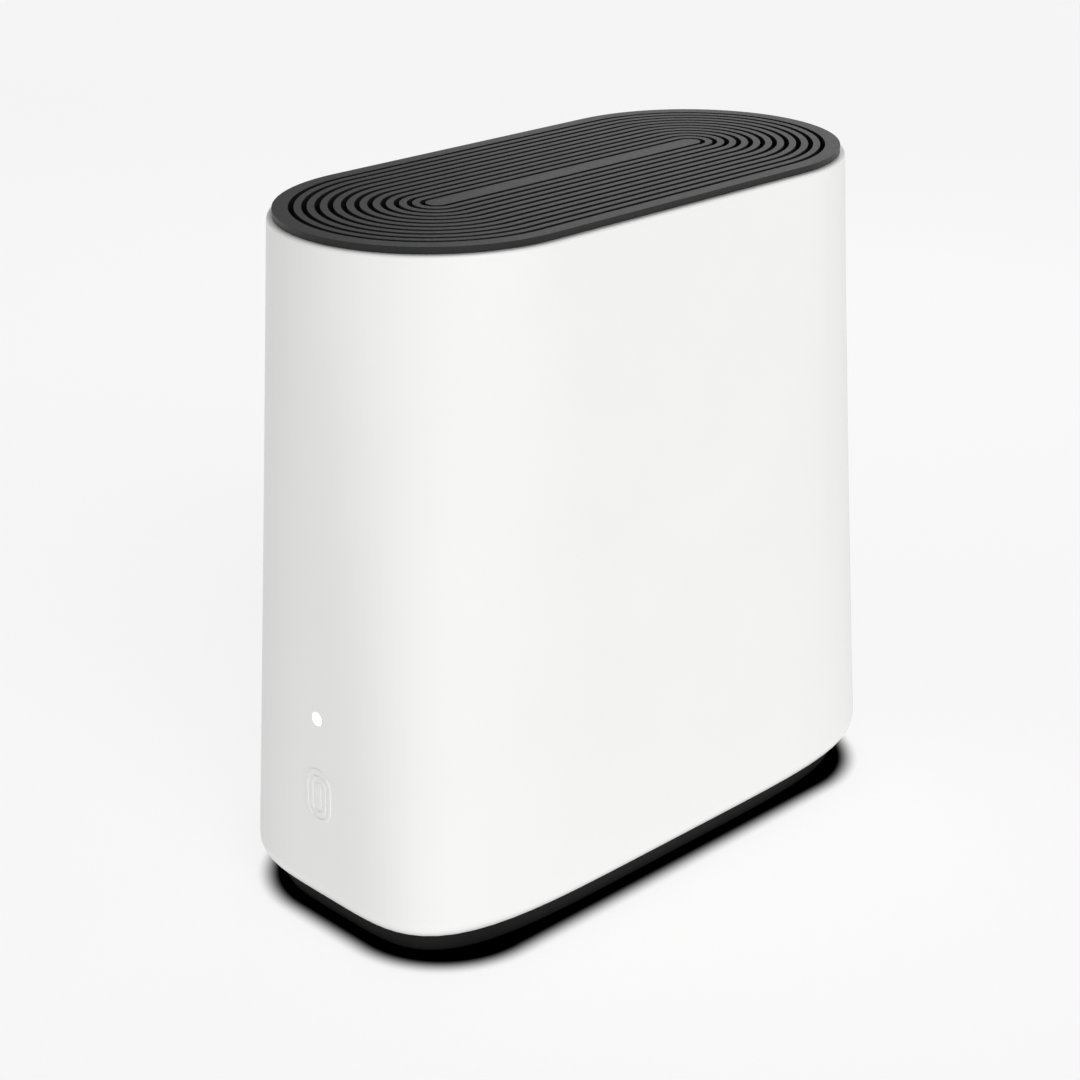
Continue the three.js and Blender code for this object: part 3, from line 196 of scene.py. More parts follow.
class Finish:
    """A material on a Principled shader, with one method that adds any other node."""

    def __init__(self, name, color, roughness, metallic=0.0, **constants):
        self.material = bpy.data.materials.new(name)
        self.material.use_nodes = True
        self.tree = self.material.node_tree
        self.shader = self.tree.nodes["Principled BSDF"]
        self.shader.inputs["Base Color"].default_value = (*color, 1)
        self.shader.inputs["Roughness"].default_value = roughness
        self.shader.inputs["Metallic"].default_value = metallic
        for socket, value in constants.items():
            self.shader.inputs[socket.replace("_", " ")].default_value = value

    def node(self, kind, settings, values, out=0):
        made = self.tree.nodes.new(kind)
        for name, setting in settings.items():
            setattr(made, name, setting)
        for name, value in values.items():
            self.feed(made.inputs[name], value)
        return Socket(self, made.outputs[out])

    def feed(self, target, value):
        if isinstance(value, Socket):
            self.tree.links.new(value.socket, target)
        else:
            target.default_value = value

    def vary(self, name, value):
        self.feed(self.shader.inputs[name], value)

    def place(self, scale=(1, 1, 1)):
        spot = self.node("ShaderNodeTexCoord", {}, {}, "Object")
        return self.node("ShaderNodeMapping", {}, {"Vector": spot, "Scale": scale})

    def axes(self):
        spot = self.node("ShaderNodeTexCoord", {}, {}, "Object")
        return [self.node("ShaderNodeSeparateXYZ", {}, {"Vector": spot}, axis) for axis in range(3)]

    def noise(self, grain, detail=2.0, scale=(1, 1, 1)):
        """Cloudy noise with grains of a size in metres."""
        return self.node("ShaderNodeTexNoise", {}, {
            "Vector": self.place(scale), "Scale": 1 / grain, "Detail": detail})

    def between(self, mask, low, high):
        """A number that goes from low to high as the mask goes from 0 to 1."""
        return mask * (high - low) + low

    def colors(self, mask, low, high):
        """A colour that goes from low to high as the mask goes from 0 to 1."""
        ends = [end if isinstance(end, Socket) else (*end, 1) for end in (low, high)]
        return self.node("ShaderNodeMix", {"data_type": "RGBA"}, {0: mask, 6: ends[0], 7: ends[1]}, 2)

    def bump(self, height, depth):
        """Relief of a depth in metres."""
        self.vary("Normal", self.node("ShaderNodeBump", {}, {
            "Height": height, "Distance": depth, "Strength": 1.0}))


# The dark band round the base is painted on the floor and isn't cast by the lights: a rounded
# rectangle, centred under the tray, that fades outwards.
SHADE_HALF = (0.0505, 0.1105)
SHADE_CORNER = 0.032
SHADE_NEAR = 0.002
SHADE_FAR = 0.0105
FLOOR_TONE = 0.3
paint = Finish("floor_paint", (FLOOR_TONE, FLOOR_TONE, FLOOR_TONE), 0.9, Emission_Strength=0.76,
               Specular_IOR_Level=0)
square = 0
for place, half in zip(paint.axes(), SHADE_HALF):
    beyond = place.math("ABSOLUTE") - (half - SHADE_CORNER)
    beyond = beyond.math("MAXIMUM", 0.0)
    square = beyond * beyond + square
away = square.math("SQRT") - SHADE_CORNER
shade = paint.node("ShaderNodeMapRange", {"interpolation_type": "SMOOTHSTEP"}, {
    "Value": away, "From Min": SHADE_NEAR, "From Max": SHADE_FAR})
lit = shade * paint.between(paint.noise(0.5), 0.99, 1.0)
paint.vary("Base Color", paint.colors(lit, (0, 0, 0), (FLOOR_TONE, FLOOR_TONE, FLOOR_TONE)))
paint.vary("Emission Color", paint.colors(lit, (0, 0, 0), (1, 1, 1)))
floor.data.materials.append(paint.material)

# ---------------------------------------------------------------- sleeve
# One injection-moulded shell of satin white plastic: round-ended at the top, squared off and
# wider at the base, with a rounded lower edge. It is open below, has a deck round the vent
# plate's well, a cut-out behind for the port bay and a hole in front for the light.

low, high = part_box("shell")
SLEEVE_LOW = low.z
SLEEVE_TOP = high.z
HALF_WIDTH = high.x
HALF_LENGTH = high.y
TAPER_WIDTH = 4.6 * MM
TAPER_LENGTH = 6 * MM
TAPER_BULGE = -0.2547
END_FLAT = 8.8 * MM
TOP_POWER = 2
BASE_POWER = 4.3
EDGE_DROP = 7.9 * MM
EDGE_INSET = 5.4 * MM
LIP_RADIUS = 0.9 * MM
SLEEVE_WALL = 2.4 * MM
CORNER_STEPS = 26
STRAIGHT_STEPS = 4


def outline(height, inset):
    """The sleeve's outline at a height, as points all round, set in by an amount."""
    law_low = SLEEVE_LOW + EDGE_DROP
    rise = min(max((SLEEVE_TOP - height) / (SLEEVE_TOP - law_low), 0), 1)
    blend = rise + TAPER_BULGE * rise * (1 - rise)
    edge = 0
    if height < law_low:
        down = min((law_low - height) / EDGE_DROP, 1)
        edge = EDGE_INSET * (1 - math.sqrt(1 - down * down))
    if height > SLEEVE_TOP - LIP_RADIUS:
        rest = min((height - SLEEVE_TOP + LIP_RADIUS) / LIP_RADIUS, 1)
        edge = LIP_RADIUS * (1 - math.sqrt(1 - rest * rest))
    top_width = HALF_WIDTH - TAPER_WIDTH
    width = top_width + TAPER_WIDTH * blend - edge - inset
    length = HALF_LENGTH - TAPER_LENGTH * (1 - blend) - edge - inset
    corner = top_width + (HALF_LENGTH - END_FLAT - top_width) * blend - edge - inset
    power = TOP_POWER + (BASE_POWER - TOP_POWER) * blend
    straight = length - corner
    quarter = []
    for step in range(CORNER_STEPS + 1):
        angle = math.pi / 2 * step / CORNER_STEPS
        across, along = max(math.cos(angle), 0), max(math.sin(angle), 0)
        reach = (across ** power + along ** power) ** (-1 / power)
        quarter.append((width * reach * across, straight + corner * reach * along))
    side = [(width, straight * (2 * step / STRAIGHT_STEPS - 1)) for step in range(1, STRAIGHT_STEPS)]
    half = quarter + [(-x, y) for x, y in reversed(quarter[:-1])] + [(-x, -y) for x, y in side]
    whole = half + [(-x, -y) for x, y in half]
    return [Vector((x, y, height)) for x, y in whole]


def wrap(name, rings):
    """A sheet of squares is laid through the rings of points and its seam is merged."""
    count = len(rings[0])
    rows = len(rings) - 1
    begin()
    bpy.ops.mesh.primitive_grid_add(x_subdivisions=count, y_subdivisions=rows, size=2)
    piece = bpy.context.object
    piece.name = name
    for vertex in piece.data.vertices:
        column = round((vertex.co.x + 1) / 2 * count) % count
        row = round((vertex.co.y + 1) / 2 * rows)
        vertex.co = rings[row][column]
    bpy.ops.object.mode_set(mode="EDIT")
    bpy.ops.mesh.select_all(action="SELECT")
    bpy.ops.mesh.remove_doubles(threshold=1e-6)
    bpy.ops.mesh.fill_holes(sides=0)
    bpy.ops.mesh.select_all(action="SELECT")
    bpy.ops.mesh.normals_make_consistent(inside=False)
    bpy.ops.object.mode_set(mode="OBJECT")
    return piece


def modify(piece, kind, **settings):
    """A modifier is added to the piece and applied."""
    begin()
    piece.select_set(True)
    bpy.context.view_layer.objects.active = piece
    modifier = piece.modifiers.new(kind.lower(), kind)
    for name, value in settings.items():
        setattr(modifier, name, value)
    bpy.ops.object.modifier_apply(modifier=modifier.name)


def carve(piece, tool, operation="DIFFERENCE"):
    """The piece is cut by, joined with or kept inside a tool, which is then thrown away."""
    modify(piece, "BOOLEAN", object=tool, operation=operation, solver="EXACT")
    bpy.data.objects.remove(tool)


def soften(piece, radius, segments=2, limit=40):
    """Edges sharper than the limit are rounded."""
    modify(piece, "BEVEL", width=radius, segments=segments, limit_method="ANGLE",
           angle_limit=math.radians(limit), harden_normals=False, use_clamp_overlap=True)


def smooth(piece, limit=35):
    """The piece is shaded smooth, apart from edges sharper than the limit; flat faces stay flat."""
    begin()
    piece.select_set(True)
    bpy.context.view_layer.objects.active = piece
    bpy.ops.object.shade_smooth_by_angle(angle=math.radians(limit))
    modify(piece, "WEIGHTED_NORMAL", keep_sharp=True)


def settle(piece):
    """The piece's place, turn and size go into its mesh, and its object goes to the origin."""
    begin()
    piece.select_set(True)
    bpy.context.view_layer.objects.active = piece
    bpy.ops.object.transform_apply(location=True, rotation=True, scale=True)


def finish_piece(piece, finish, body="case", replaces=()):
    """The piece gets its finish, the body it rides on and the nodes it stands for."""
    piece.data.materials.clear()
    piece.data.materials.append(finish.material)
    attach(piece, body)
    if replaces:
        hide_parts(*replaces)


def block(name, low, high):
    """A cube between two corners, as the start of a piece or a tool."""
    begin()
    low, high = Vector(low), Vector(high)
    bpy.ops.mesh.primitive_cube_add(size=1, location=(low + high) / 2, scale=high - low)
    piece = bpy.context.object
    piece.name = name
    settle(piece)
    return piece


def rod(name, radius, start, end, sides=48):
    """A cylinder between two points, as the start of a piece or a tool."""
    begin()
    start, end = Vector(start), Vector(end)
    run = end - start
    bpy.ops.mesh.primitive_cylinder_add(
        vertices=sides, radius=radius, depth=run.length, location=(start + end) / 2,
        rotation=run.to_track_quat("Z", "Y").to_euler())
    piece = bpy.context.object
    piece.name = name
    settle(piece)
    return piece


def slab(name, low, high, radius, axis=1, segments=8):
    """A block whose edges along one axis are rounded to a radius."""
    piece = block(name, low, high)
    bpy.ops.object.mode_set(mode="EDIT")
    bpy.ops.mesh.select_all(action="DESELECT")
    bpy.ops.object.mode_set(mode="OBJECT")
    for edge in piece.data.edges:
        ends = [piece.data.vertices[index].co for index in edge.vertices]
        edge.select = abs((ends[0] - ends[1])[axis]) > 1e-6
    bpy.ops.object.mode_set(mode="EDIT")
    bpy.ops.mesh.select_mode(type="EDGE")
    bpy.ops.mesh.bevel(offset=radius, segments=segments)
    bpy.ops.object.mode_set(mode="OBJECT")
    return piece


def merge(first, *others):
    """Loose pieces become one object."""
    begin()
    for piece in (first, *others):
        piece.select_set(True)
    bpy.context.view_layer.objects.active = first
    bpy.ops.object.join()
    return first


plate_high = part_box("vent_plate")[1]
DECK_GAP = 0.3 * MM
PLATE_FLANGE = 3.77 * MM
WELL_INSET = HALF_WIDTH - TAPER_WIDTH - plate_high.x + PLATE_FLANGE
DECK_INSET = WELL_INSET - DECK_GAP
SIDE_ROWS = 30
EDGE_ROWS = 9
LIP_ROWS = 5

law_low = SLEEVE_LOW + EDGE_DROP
law_top = SLEEVE_TOP - LIP_RADIUS
outer_heights = [
    SLEEVE_LOW + EDGE_DROP * (1 - math.cos(math.pi / 2 * row / EDGE_ROWS)) for row in range(EDGE_ROWS)]
outer_heights += [law_low + (law_top - law_low) * row / SIDE_ROWS for row in range(SIDE_ROWS)]
outer_heights += [
    law_top + LIP_RADIUS * math.sin(math.pi / 2 * row / LIP_ROWS) for row in range(LIP_ROWS + 1)]


def sleeve_form(name, inset):
    """The sleeve's outside as a closed solid, set in by an amount."""
    return wrap(name, [outline(height, inset) for height in outer_heights])


deck_low = SLEEVE_TOP - SLEEVE_WALL
inner_heights = [height for height in reversed(outer_heights) if height < deck_low - MM]
rings = [outline(height, 0) for height in outer_heights]
rings += [outline(SLEEVE_TOP, WELL_INSET * share) for share in (0.3, 0.6)]
rings += [outline(SLEEVE_TOP, DECK_INSET - LIP_RADIUS), outline(deck_low, DECK_INSET - LIP_RADIUS)]
rings += [[Vector((point.x, point.y, deck_low)) for point in outline(deck_low, SLEEVE_WALL)]]
rings += [outline(height, SLEEVE_WALL) for height in inner_heights]
rings += [rings[0]]
sleeve = wrap("sleeve", rings)

panel_low, panel_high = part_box("port_panel")
BAY_CORNER = 6 * MM
BAY_GAP = 0.3 * MM
bay_tool = slab(
    "bay_tool",
    (panel_low.x - BAY_GAP, panel_low.y - 5 * MM, panel_low.z - BAY_GAP),
    (panel_high.x + BAY_GAP, HALF_LENGTH + 5 * MM, panel_high.z + BAY_GAP),
    BAY_CORNER + BAY_GAP, segments=10)
carve(sleeve, bay_tool)

pipe_low, pipe_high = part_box("light_pipe")
LIGHT_PLACE = (pipe_low.z + pipe_high.z) / 2
LIGHT_RADIUS = 2.3 * MM
LIGHT_GAP = 0.1 * MM
light_tool = rod(
    "light_tool", LIGHT_RADIUS + LIGHT_GAP,
    (0, -HALF_LENGTH - 5 * MM, LIGHT_PLACE), (0, -HALF_LENGTH + 12 * MM, LIGHT_PLACE), 64)
carve(sleeve, light_tool)

chassis_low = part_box("chassis")[0]
BOSS_RADIUS = 4.5 * MM
BOSS_HEIGHT = 19 * MM
PILOT_RADIUS = 1.8 * MM
BOSS_LOW = chassis_low.z + 2.7 * MM
screw_boxes = [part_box(f"base_screw_{number}") for number in (1, 2, 3, 4)]
screw_places = [((low.x + high.x) / 2, (low.y + high.y) / 2) for low, high in screw_boxes]
for x, y in screw_places:
    boss = rod("boss", BOSS_RADIUS, (x, y, BOSS_LOW), (x, y, BOSS_LOW + BOSS_HEIGHT), 40)
    wall = math.copysign(HALF_WIDTH - SLEEVE_WALL / 2 - MM, x)
    web = block("web", (min(x, wall), y - MM, SLEEVE_LOW + EDGE_DROP),
                (max(x, wall), y + MM, BOSS_LOW + BOSS_HEIGHT - 4 * MM))
    carve(boss, web, "UNION")
    carve(boss, rod("pilot", PILOT_RADIUS, (x, y, BOSS_LOW - MM),
                    (x, y, BOSS_LOW + BOSS_HEIGHT - 3 * MM), 32))
    carve(sleeve, boss, "UNION")

# A plain mark in low relief stands in the middle of the front: two rings and a bar.
EMBLEM_PLACE = SLEEVE_LOW + 40.7 * MM
EMBLEM_RELIEF = 0.3 * MM
EMBLEM_BAND = 1.1 * MM


def upright_ring(name, half_width, half_height, band):
    """A round-ended ring that stands up and reaches through the sleeve's front."""
    front = -HALF_LENGTH - 2 * MM
    rear = -HALF_LENGTH + 3 * MM
    ring = slab(name, (-half_width, front, EMBLEM_PLACE - half_height),
                (half_width, rear, EMBLEM_PLACE + half_height), half_width * 0.999, segments=14)
    if band:
        hole = slab("ring_hole", (band - half_width, front - MM, EMBLEM_PLACE + band - half_height),
                    (half_width - band, rear + MM, EMBLEM_PLACE + half_height - band),
                    (half_width - band) * 0.999, segments=14)
        carve(ring, hole)
    return ring


emblem = merge(
    upright_ring("emblem", 6.3 * MM, 9.6 * MM, EMBLEM_BAND),
    upright_ring("inner_ring", 3.8 * MM, 7.1 * MM, EMBLEM_BAND),
    upright_ring("bar", 1.3 * MM, 4.6 * MM, 0))
carve(emblem, sleeve_form("skin", -EMBLEM_RELIEF), "INTERSECT")
carve(sleeve, emblem, "UNION")
smooth(sleeve, 50)

white = Finish("satin_white_plastic", (0.86, 0.86, 0.85), 0.34, IOR=1.46)
mottle = white.noise(0.05, 3)
white.vary("Base Color", white.colors(mottle, (0.835, 0.835, 0.828), (0.862, 0.862, 0.856)))
white.vary("Roughness", white.between(white.noise(0.02, 4), 0.3, 0.38))
white.bump(white.noise(0.0006, 2), 0.000004)
finish_piece(sleeve, white, replaces=["shell"])

# ---------------------------------------------------------------- vent plate
# A moulded charcoal plate with round-ended ribs in rings, and slots between them that let the
# warm air out. It stands on the sleeve's deck; its body hangs in the deck's opening.

GROOVE_WIDTH = 1.75 * MM
GROOVE_PITCH = 4.11 * MM
GROOVE_FIRST = 4.7 * MM
WELL_WALL = 1.33 * MM
PLATE_LOW = SLEEVE_TOP + 0.3 * MM
WELL_LOW = plate_high.z - 6.4 * MM
ARC_STEPS = 40
RIB_EDGE = 0.22 * MM
CROSS_RIB = 2.4 * MM
CROSS_SPACING = 20 * MM
CROSS_TOP = plate_high.z - 4 * MM

straight_half = plate_high.y - plate_high.x
groove_last = plate_high.x - PLATE_FLANGE - WELL_WALL - GROOVE_WIDTH / 2
groove_count = 1 + round((groove_last - GROOVE_FIRST) / GROOVE_PITCH)


def stadium(radius, height):
    """Points round a shape with straight sides along Y and round ends."""
    points = []
    for side in (1, -1):
        for step in range(ARC_STEPS + 1):
            angle = math.pi * step / ARC_STEPS
            points.append(Vector((
                side * radius * math.cos(angle), side * (straight_half + radius * math.sin(angle)), height)))
    return points


def from_line(point):
    """How far a point is from the straight line along the middle of the plate."""
    return math.hypot(point.x, max(abs(point.y) - straight_half, 0))


def ring_face(name, radius, height):
    """A flat round-ended face, made from a circle whose halves are moved apart."""
    begin()
    points = stadium(radius, height)
    bpy.ops.mesh.primitive_circle_add(vertices=len(points), fill_type="NGON")
    face = bpy.context.object
    face.name = name
    for vertex, point in zip(face.data.vertices, points):
        vertex.co = point
    return face


def select_faces(piece, test):
    """In edit mode, only the faces that pass a test on their middle are selected."""
    bpy.ops.object.mode_set(mode="OBJECT")
    for part in (piece.data.vertices, piece.data.edges, piece.data.polygons):
        part.foreach_set("select", [False] * len(part))
    for polygon in piece.data.polygons:
        polygon.select = test(polygon.center)
    bpy.ops.object.mode_set(mode="EDIT")
    bpy.ops.mesh.select_mode(type="FACE")


def in_groove(middle):
    away = (from_line(middle) - GROOVE_FIRST) / GROOVE_PITCH
    ring = round(away)
    return 0 <= ring < groove_count and abs(away - ring) * GROOVE_PITCH < GROOVE_WIDTH * 0.4


vent = ring_face("vent_plate_ribbed", plate_high.x, plate_high.z)
bpy.ops.object.mode_set(mode="EDIT")
bpy.ops.mesh.select_mode(type="FACE")
bpy.ops.mesh.select_all(action="SELECT")
rib_width = GROOVE_PITCH - GROOVE_WIDTH
insets = [PLATE_FLANGE, WELL_WALL] + [GROOVE_WIDTH, rib_width] * groove_count
for width in insets[:-1]:
    bpy.ops.mesh.inset(thickness=width, use_even_offset=True)
select_faces(vent, lambda middle: True)
bpy.ops.mesh.tris_convert_to_quads()
select_faces(vent, in_groove)
bpy.ops.mesh.delete(type="FACE")
bpy.ops.mesh.select_all(action="SELECT")
bpy.ops.mesh.extrude_region_move(TRANSFORM_OT_translate={"value": (0, 0, PLATE_LOW - plate_high.z)})
well_edge = plate_high.x - PLATE_FLANGE
select_faces(vent, lambda middle: middle.z < PLATE_LOW + 1e-5 and from_line(middle) < well_edge)
bpy.ops.mesh.extrude_region_move(TRANSFORM_OT_translate={"value": (0, 0, WELL_LOW - PLATE_LOW)})
bpy.ops.mesh.select_all(action="SELECT")
bpy.ops.mesh.normals_make_consistent(inside=False)
bpy.ops.object.mode_set(mode="OBJECT")

well_half = well_edge - WELL_WALL / 2
bars = [block("cross_rib", (-CROSS_RIB / 2, -straight_half - well_half, WELL_LOW - 0.4 * MM),
              (CROSS_RIB / 2, straight_half + well_half, CROSS_TOP))]
rows = int(straight_half / CROSS_SPACING)
for row in range(-rows, rows + 1):
    bars.append(block(
        "cross_rib", (-well_half, row * CROSS_SPACING - CROSS_RIB / 2, WELL_LOW - 0.4 * MM),
        (well_half, row * CROSS_SPACING + CROSS_RIB / 2, CROSS_TOP)))
for bar in bars:
    carve(vent, bar, "UNION")
soften(vent, RIB_EDGE, 2, 50)
smooth(vent, 40)

charcoal = Finish("charcoal_plastic", (0.012, 0.012, 0.0125), 0.46, Specular_IOR_Level=0.3)
speckle = charcoal.noise(0.0004, 1)
charcoal.vary("Base Color", charcoal.colors(speckle, (0.006, 0.006, 0.0063), (0.019, 0.019, 0.0197)))
charcoal.vary("Roughness", charcoal.between(charcoal.noise(0.0012, 3), 0.4, 0.54))
charcoal.bump(speckle, 0.00004)
finish_piece(vent, charcoal, replaces=["vent_plate"])

# ---------------------------------------------------------------- light pipe
# A frosted clear pipe that carries the light of the diode to the front, flush with the sleeve.

light_front = pipe_low.y
pipe = rod("light_window", LIGHT_RADIUS, (0, light_front, LIGHT_PLACE), (0, pipe_high.y, LIGHT_PLACE), 64)
soften(pipe, 0.25 * MM, 3)
collar = rod("light_collar", LIGHT_RADIUS + 1.6 * MM, (0, light_front + 7.1 * MM, LIGHT_PLACE),
             (0, pipe_high.y - 4 * MM, LIGHT_PLACE), 48)
carve(pipe, collar, "UNION")
smooth(pipe, 40)
glow = Finish("lit_window", (0.95, 0.97, 1.0), 0.3, Emission_Color=(1, 1, 1, 1), Emission_Strength=0.9)
glow.vary("Roughness", glow.between(glow.noise(0.001), 0.25, 0.35))
finish_piece(pipe, glow, replaces=["light_pipe"])

# ---------------------------------------------------------------- base
# The black tray under the sleeve: a skirt set in from the sleeve's edge, a collar that stands up
# inside it, posts for the chassis, round-ended air slots, and pockets for the feet and the label.

base_low, base_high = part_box("base")
SKIRT_LOW = base_low.z
SKIRT_HIGH = SLEEVE_LOW - 0.3 * MM
SKIRT_INSET = 1.5 * MM
COLLAR_INSET = 2.7 * MM
TRAY_INSET = 5.1 * MM
TRAY_FLOOR = SKIRT_LOW + 2.4 * MM
POST_RADIUS = 5.5 * MM
SCREW_HOLE = 1.9 * MM
HEAD_SEAT = 3.6 * MM
HEAD_HEIGHT = 2.6 * MM


def level_ring(height, inset):
    """The outline of the sleeve's lower edge, set in and moved to a height."""
    return [Vector((point.x, point.y, height)) for point in outline(SLEEVE_LOW, inset)]


base = wrap("base", [
    level_ring(SKIRT_LOW, SKIRT_INSET + 1.5 * MM),
    level_ring(SKIRT_LOW + 0.15 * MM, SKIRT_INSET + 1.12 * MM),
    level_ring(SKIRT_LOW + 0.5 * MM, SKIRT_INSET + 0.75 * MM),
    level_ring(SKIRT_LOW + MM, SKIRT_INSET + 0.5 * MM),
    level_ring(SKIRT_LOW + 3 * MM, SKIRT_INSET + 0.3 * MM),
    level_ring(SKIRT_HIGH, SKIRT_INSET),
    level_ring(SKIRT_HIGH, COLLAR_INSET),
    level_ring(base_high.z, COLLAR_INSET),
    level_ring(base_high.z, TRAY_INSET),
    level_ring(TRAY_FLOOR, TRAY_INSET),
])
post_top = chassis_low.z - 0.3 * MM
head_top = screw_boxes[0][0].z + HEAD_HEIGHT
for x, y in screw_places:
    carve(base, rod("post", POST_RADIUS, (x, y, TRAY_FLOOR - MM), (x, y, post_top), 40), "UNION")
for x, y in screw_places:
    carve(base, rod("screw_hole", SCREW_HOLE, (x, y, 0), (x, y, post_top + MM), 32))
    carve(base, rod("head_seat", HEAD_SEAT, (x, y, 0), (x, y, head_top + 0.3 * MM), 40))

foot_names = ["foot_front_left", "foot_front_right", "foot_rear_left", "foot_rear_right"]
foot_boxes = [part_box(name) for name in foot_names]
FOOT_GAP = 0.3 * MM
for low, high in foot_boxes:
    x, y = (low.x + high.x) / 2, (low.y + high.y) / 2
    radius = (high.x - low.x) / 2 + FOOT_GAP
    carve(base, rod("foot_pocket", radius, (x, y, 0), (x, y, high.z + FOOT_GAP), 64))

label_low, label_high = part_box("rating_label")
carve(base, slab(
    "label_pocket", (label_low.x - FOOT_GAP, label_low.y - FOOT_GAP, 0),
    (label_high.x + FOOT_GAP, label_high.y + FOOT_GAP, label_high.z + FOOT_GAP), 1.5 * MM, axis=2))

SLOT_HALF = 1.5 * MM
SLOT_REACH = 23 * MM
SLOT_PITCH = 8 * MM
slot_first = label_high.y + 9 * MM
slot_count = round((foot_boxes[3][0].y - slot_first) / SLOT_PITCH)
for row in range(slot_count):
    for side in (-1, 1):
        y = side * (slot_first + row * SLOT_PITCH)
        carve(base, slab("air_slot", (-SLOT_REACH, y - SLOT_HALF, 0),
                         (SLOT_REACH, y + SLOT_HALF, TRAY_FLOOR + MM), SLOT_HALF * 0.98, axis=2, segments=5))
soften(base, 0.2 * MM, 2, 50)
smooth(base, 40)


def moulded(name, dark, light, roughness, relief=0.00002, **constants):
    """Moulded plastic: slightly uneven in tone, with a fine grain."""
    made = Finish(name, dark, roughness, **constants)
    made.vary("Base Color", made.colors(made.noise(0.018, 4), dark, light))
    made.vary("Roughness", made.between(made.noise(0.003, 3), roughness - 0.05, roughness + 0.05))
    made.bump(made.noise(0.0005, 2), relief)
    return made


black = moulded("matte_black_plastic", (0.006, 0.006, 0.0063), (0.009, 0.009, 0.0094), 0.55,
                Specular_IOR_Level=0.2)
finish_piece(base, black, replaces=["base"])

# ---------------------------------------------------------------- feet
# Four round rubber pads pressed into the base's pockets, with a softened edge and a shallow dish
# in the face that meets the table.


def turned(name, centre, axis, profile, sides=64):
    """A turned piece: its profile gives (radius, place along the axis) from one end to the other."""
    rings = []
    for radius, along in profile:
        ring = []
        for step in range(sides):
            angle = 2 * math.pi * step / sides
            across, beside = radius * math.cos(angle), radius * math.sin(angle)
            if axis == "Z":
                ring.append(Vector((centre[0] + across, centre[1] + beside, along)))
            else:
                ring.append(Vector((centre[0] + across, along, centre[1] + beside)))
        rings.append(ring)
    return wrap(name, rings)


rubber = moulded("black_rubber", (0.016, 0.016, 0.0165), (0.026, 0.026, 0.027), 0.85, 0.00004)
for name, (low, high) in zip(foot_names, foot_boxes):
    radius = (high.x - low.x) / 2
    pad = turned(name + "_pad", ((low.x + high.x) / 2, (low.y + high.y) / 2), "Z", [
        (1.2 * MM, 0.35 * MM), (radius - 3.2 * MM, 0.35 * MM), (radius - 2.8 * MM, 0.28 * MM),
        (radius - 2.4 * MM, 0), (radius - 0.6 * MM, 0), (radius - 0.3 * MM, 0.08 * MM),
        (radius - 0.08 * MM, 0.3 * MM), (radius, 0.6 * MM), (radius, high.z - 0.15 * MM),
        (radius - 0.15 * MM, high.z), (1.2 * MM, high.z)])
    smooth(pad, 30)
    finish_piece(pad, rubber, replaces=[name])

# ---------------------------------------------------------------- base screws
# Four zinc-plated pan-head screws from below, with a cross recess, that hold base, chassis and
# sleeve together.

THREAD_RADIUS = 1.45 * MM
THREAD_PITCH = 1.0 * MM


def metal(name, dark, light, roughness, stretch=(1, 1, 1), grain=0.002):
    """Bare metal with faint scratches that run one way."""
    made = Finish(name, light, roughness, 1.0)
    made.vary("Base Color", made.colors(made.noise(grain * 4, 3, stretch), dark, light))
    made.vary("Roughness", made.between(made.noise(grain, 4, stretch), roughness - 0.08, roughness + 0.1))
    made.bump(made.noise(grain / 2, 2, stretch), 0.000006)
    return made


zinc = metal("zinc_plated_steel", (0.4, 0.4, 0.41), (0.55, 0.55, 0.56), 0.32)
for number, (low, high) in enumerate(screw_boxes, 1):
    x, y = (low.x + high.x) / 2, (low.y + high.y) / 2
    radius = (high.x - low.x) / 2
    under = low.z + HEAD_HEIGHT
    profile = [
        (0.8 * MM, low.z), (radius - 1.2 * MM, low.z + 0.06 * MM), (radius - 0.5 * MM, low.z + 0.35 * MM),
        (radius - 0.1 * MM, low.z + 0.9 * MM), (radius, low.z + 1.5 * MM), (radius, under - 0.1 * MM),
        (radius - 0.1 * MM, under), (THREAD_RADIUS * 0.8, under)]
    turns = int((high.z - under - 2 * MM) / THREAD_PITCH)
    for turn in range(turns):
        root = under + MM + turn * THREAD_PITCH
        profile += [(THREAD_RADIUS * 0.8, root), (THREAD_RADIUS, root + THREAD_PITCH / 2)]
    profile += [(THREAD_RADIUS * 0.7, high.z - 0.6 * MM), (0.3 * MM, high.z)]
    screw = turned(f"base_screw_{number}_threaded", (x, y), "Z", profile, 32)
    for reach, width in ((1.9 * MM, 0.5 * MM), (0.5 * MM, 1.9 * MM)):
        carve(screw, block("recess", (x - reach, y - width, low.z - MM),
                           (x + reach, y + width, low.z + 1.2 * MM)))
    smooth(screw, 35)
    finish_piece(screw, zinc, replaces=[f"base_screw_{number}"])

# ---------------------------------------------------------------- rating label
# A film label in its pocket under the base. Nothing is printed on it but a thin line that frames
# two plain panels.

label = slab("label_blank", label_low, label_high, 1.2 * MM, axis=2)
film = Finish("label_film", (0.62, 0.62, 0.61), 0.45)
across, along, height = film.axes()
LABEL_MARGIN = 1.2 * MM
LABEL_LINE = 0.25 * MM
half_across = label_high.x - LABEL_MARGIN
half_along = label_high.y - LABEL_MARGIN
far_across = across.math("ABSOLUTE")
far_along = along.math("ABSOLUTE")
inside = (far_across < half_across) * (far_along < half_along)
deeper = (far_across < half_across - LABEL_LINE) * (far_along < half_along - LABEL_LINE)
line = inside - deeper
divider = (far_along < LABEL_LINE / 2) * inside
ink = film.colors(line + divider, (0.62, 0.62, 0.61), (0.12, 0.12, 0.12))
film.vary("Base Color", film.colors(film.noise(0.004, 2) * 0.12, ink, (0.5, 0.5, 0.5)))
film.vary("Roughness", film.between(film.noise(0.002), 0.38, 0.5))
finish_piece(label, film, replaces=["rating_label"])

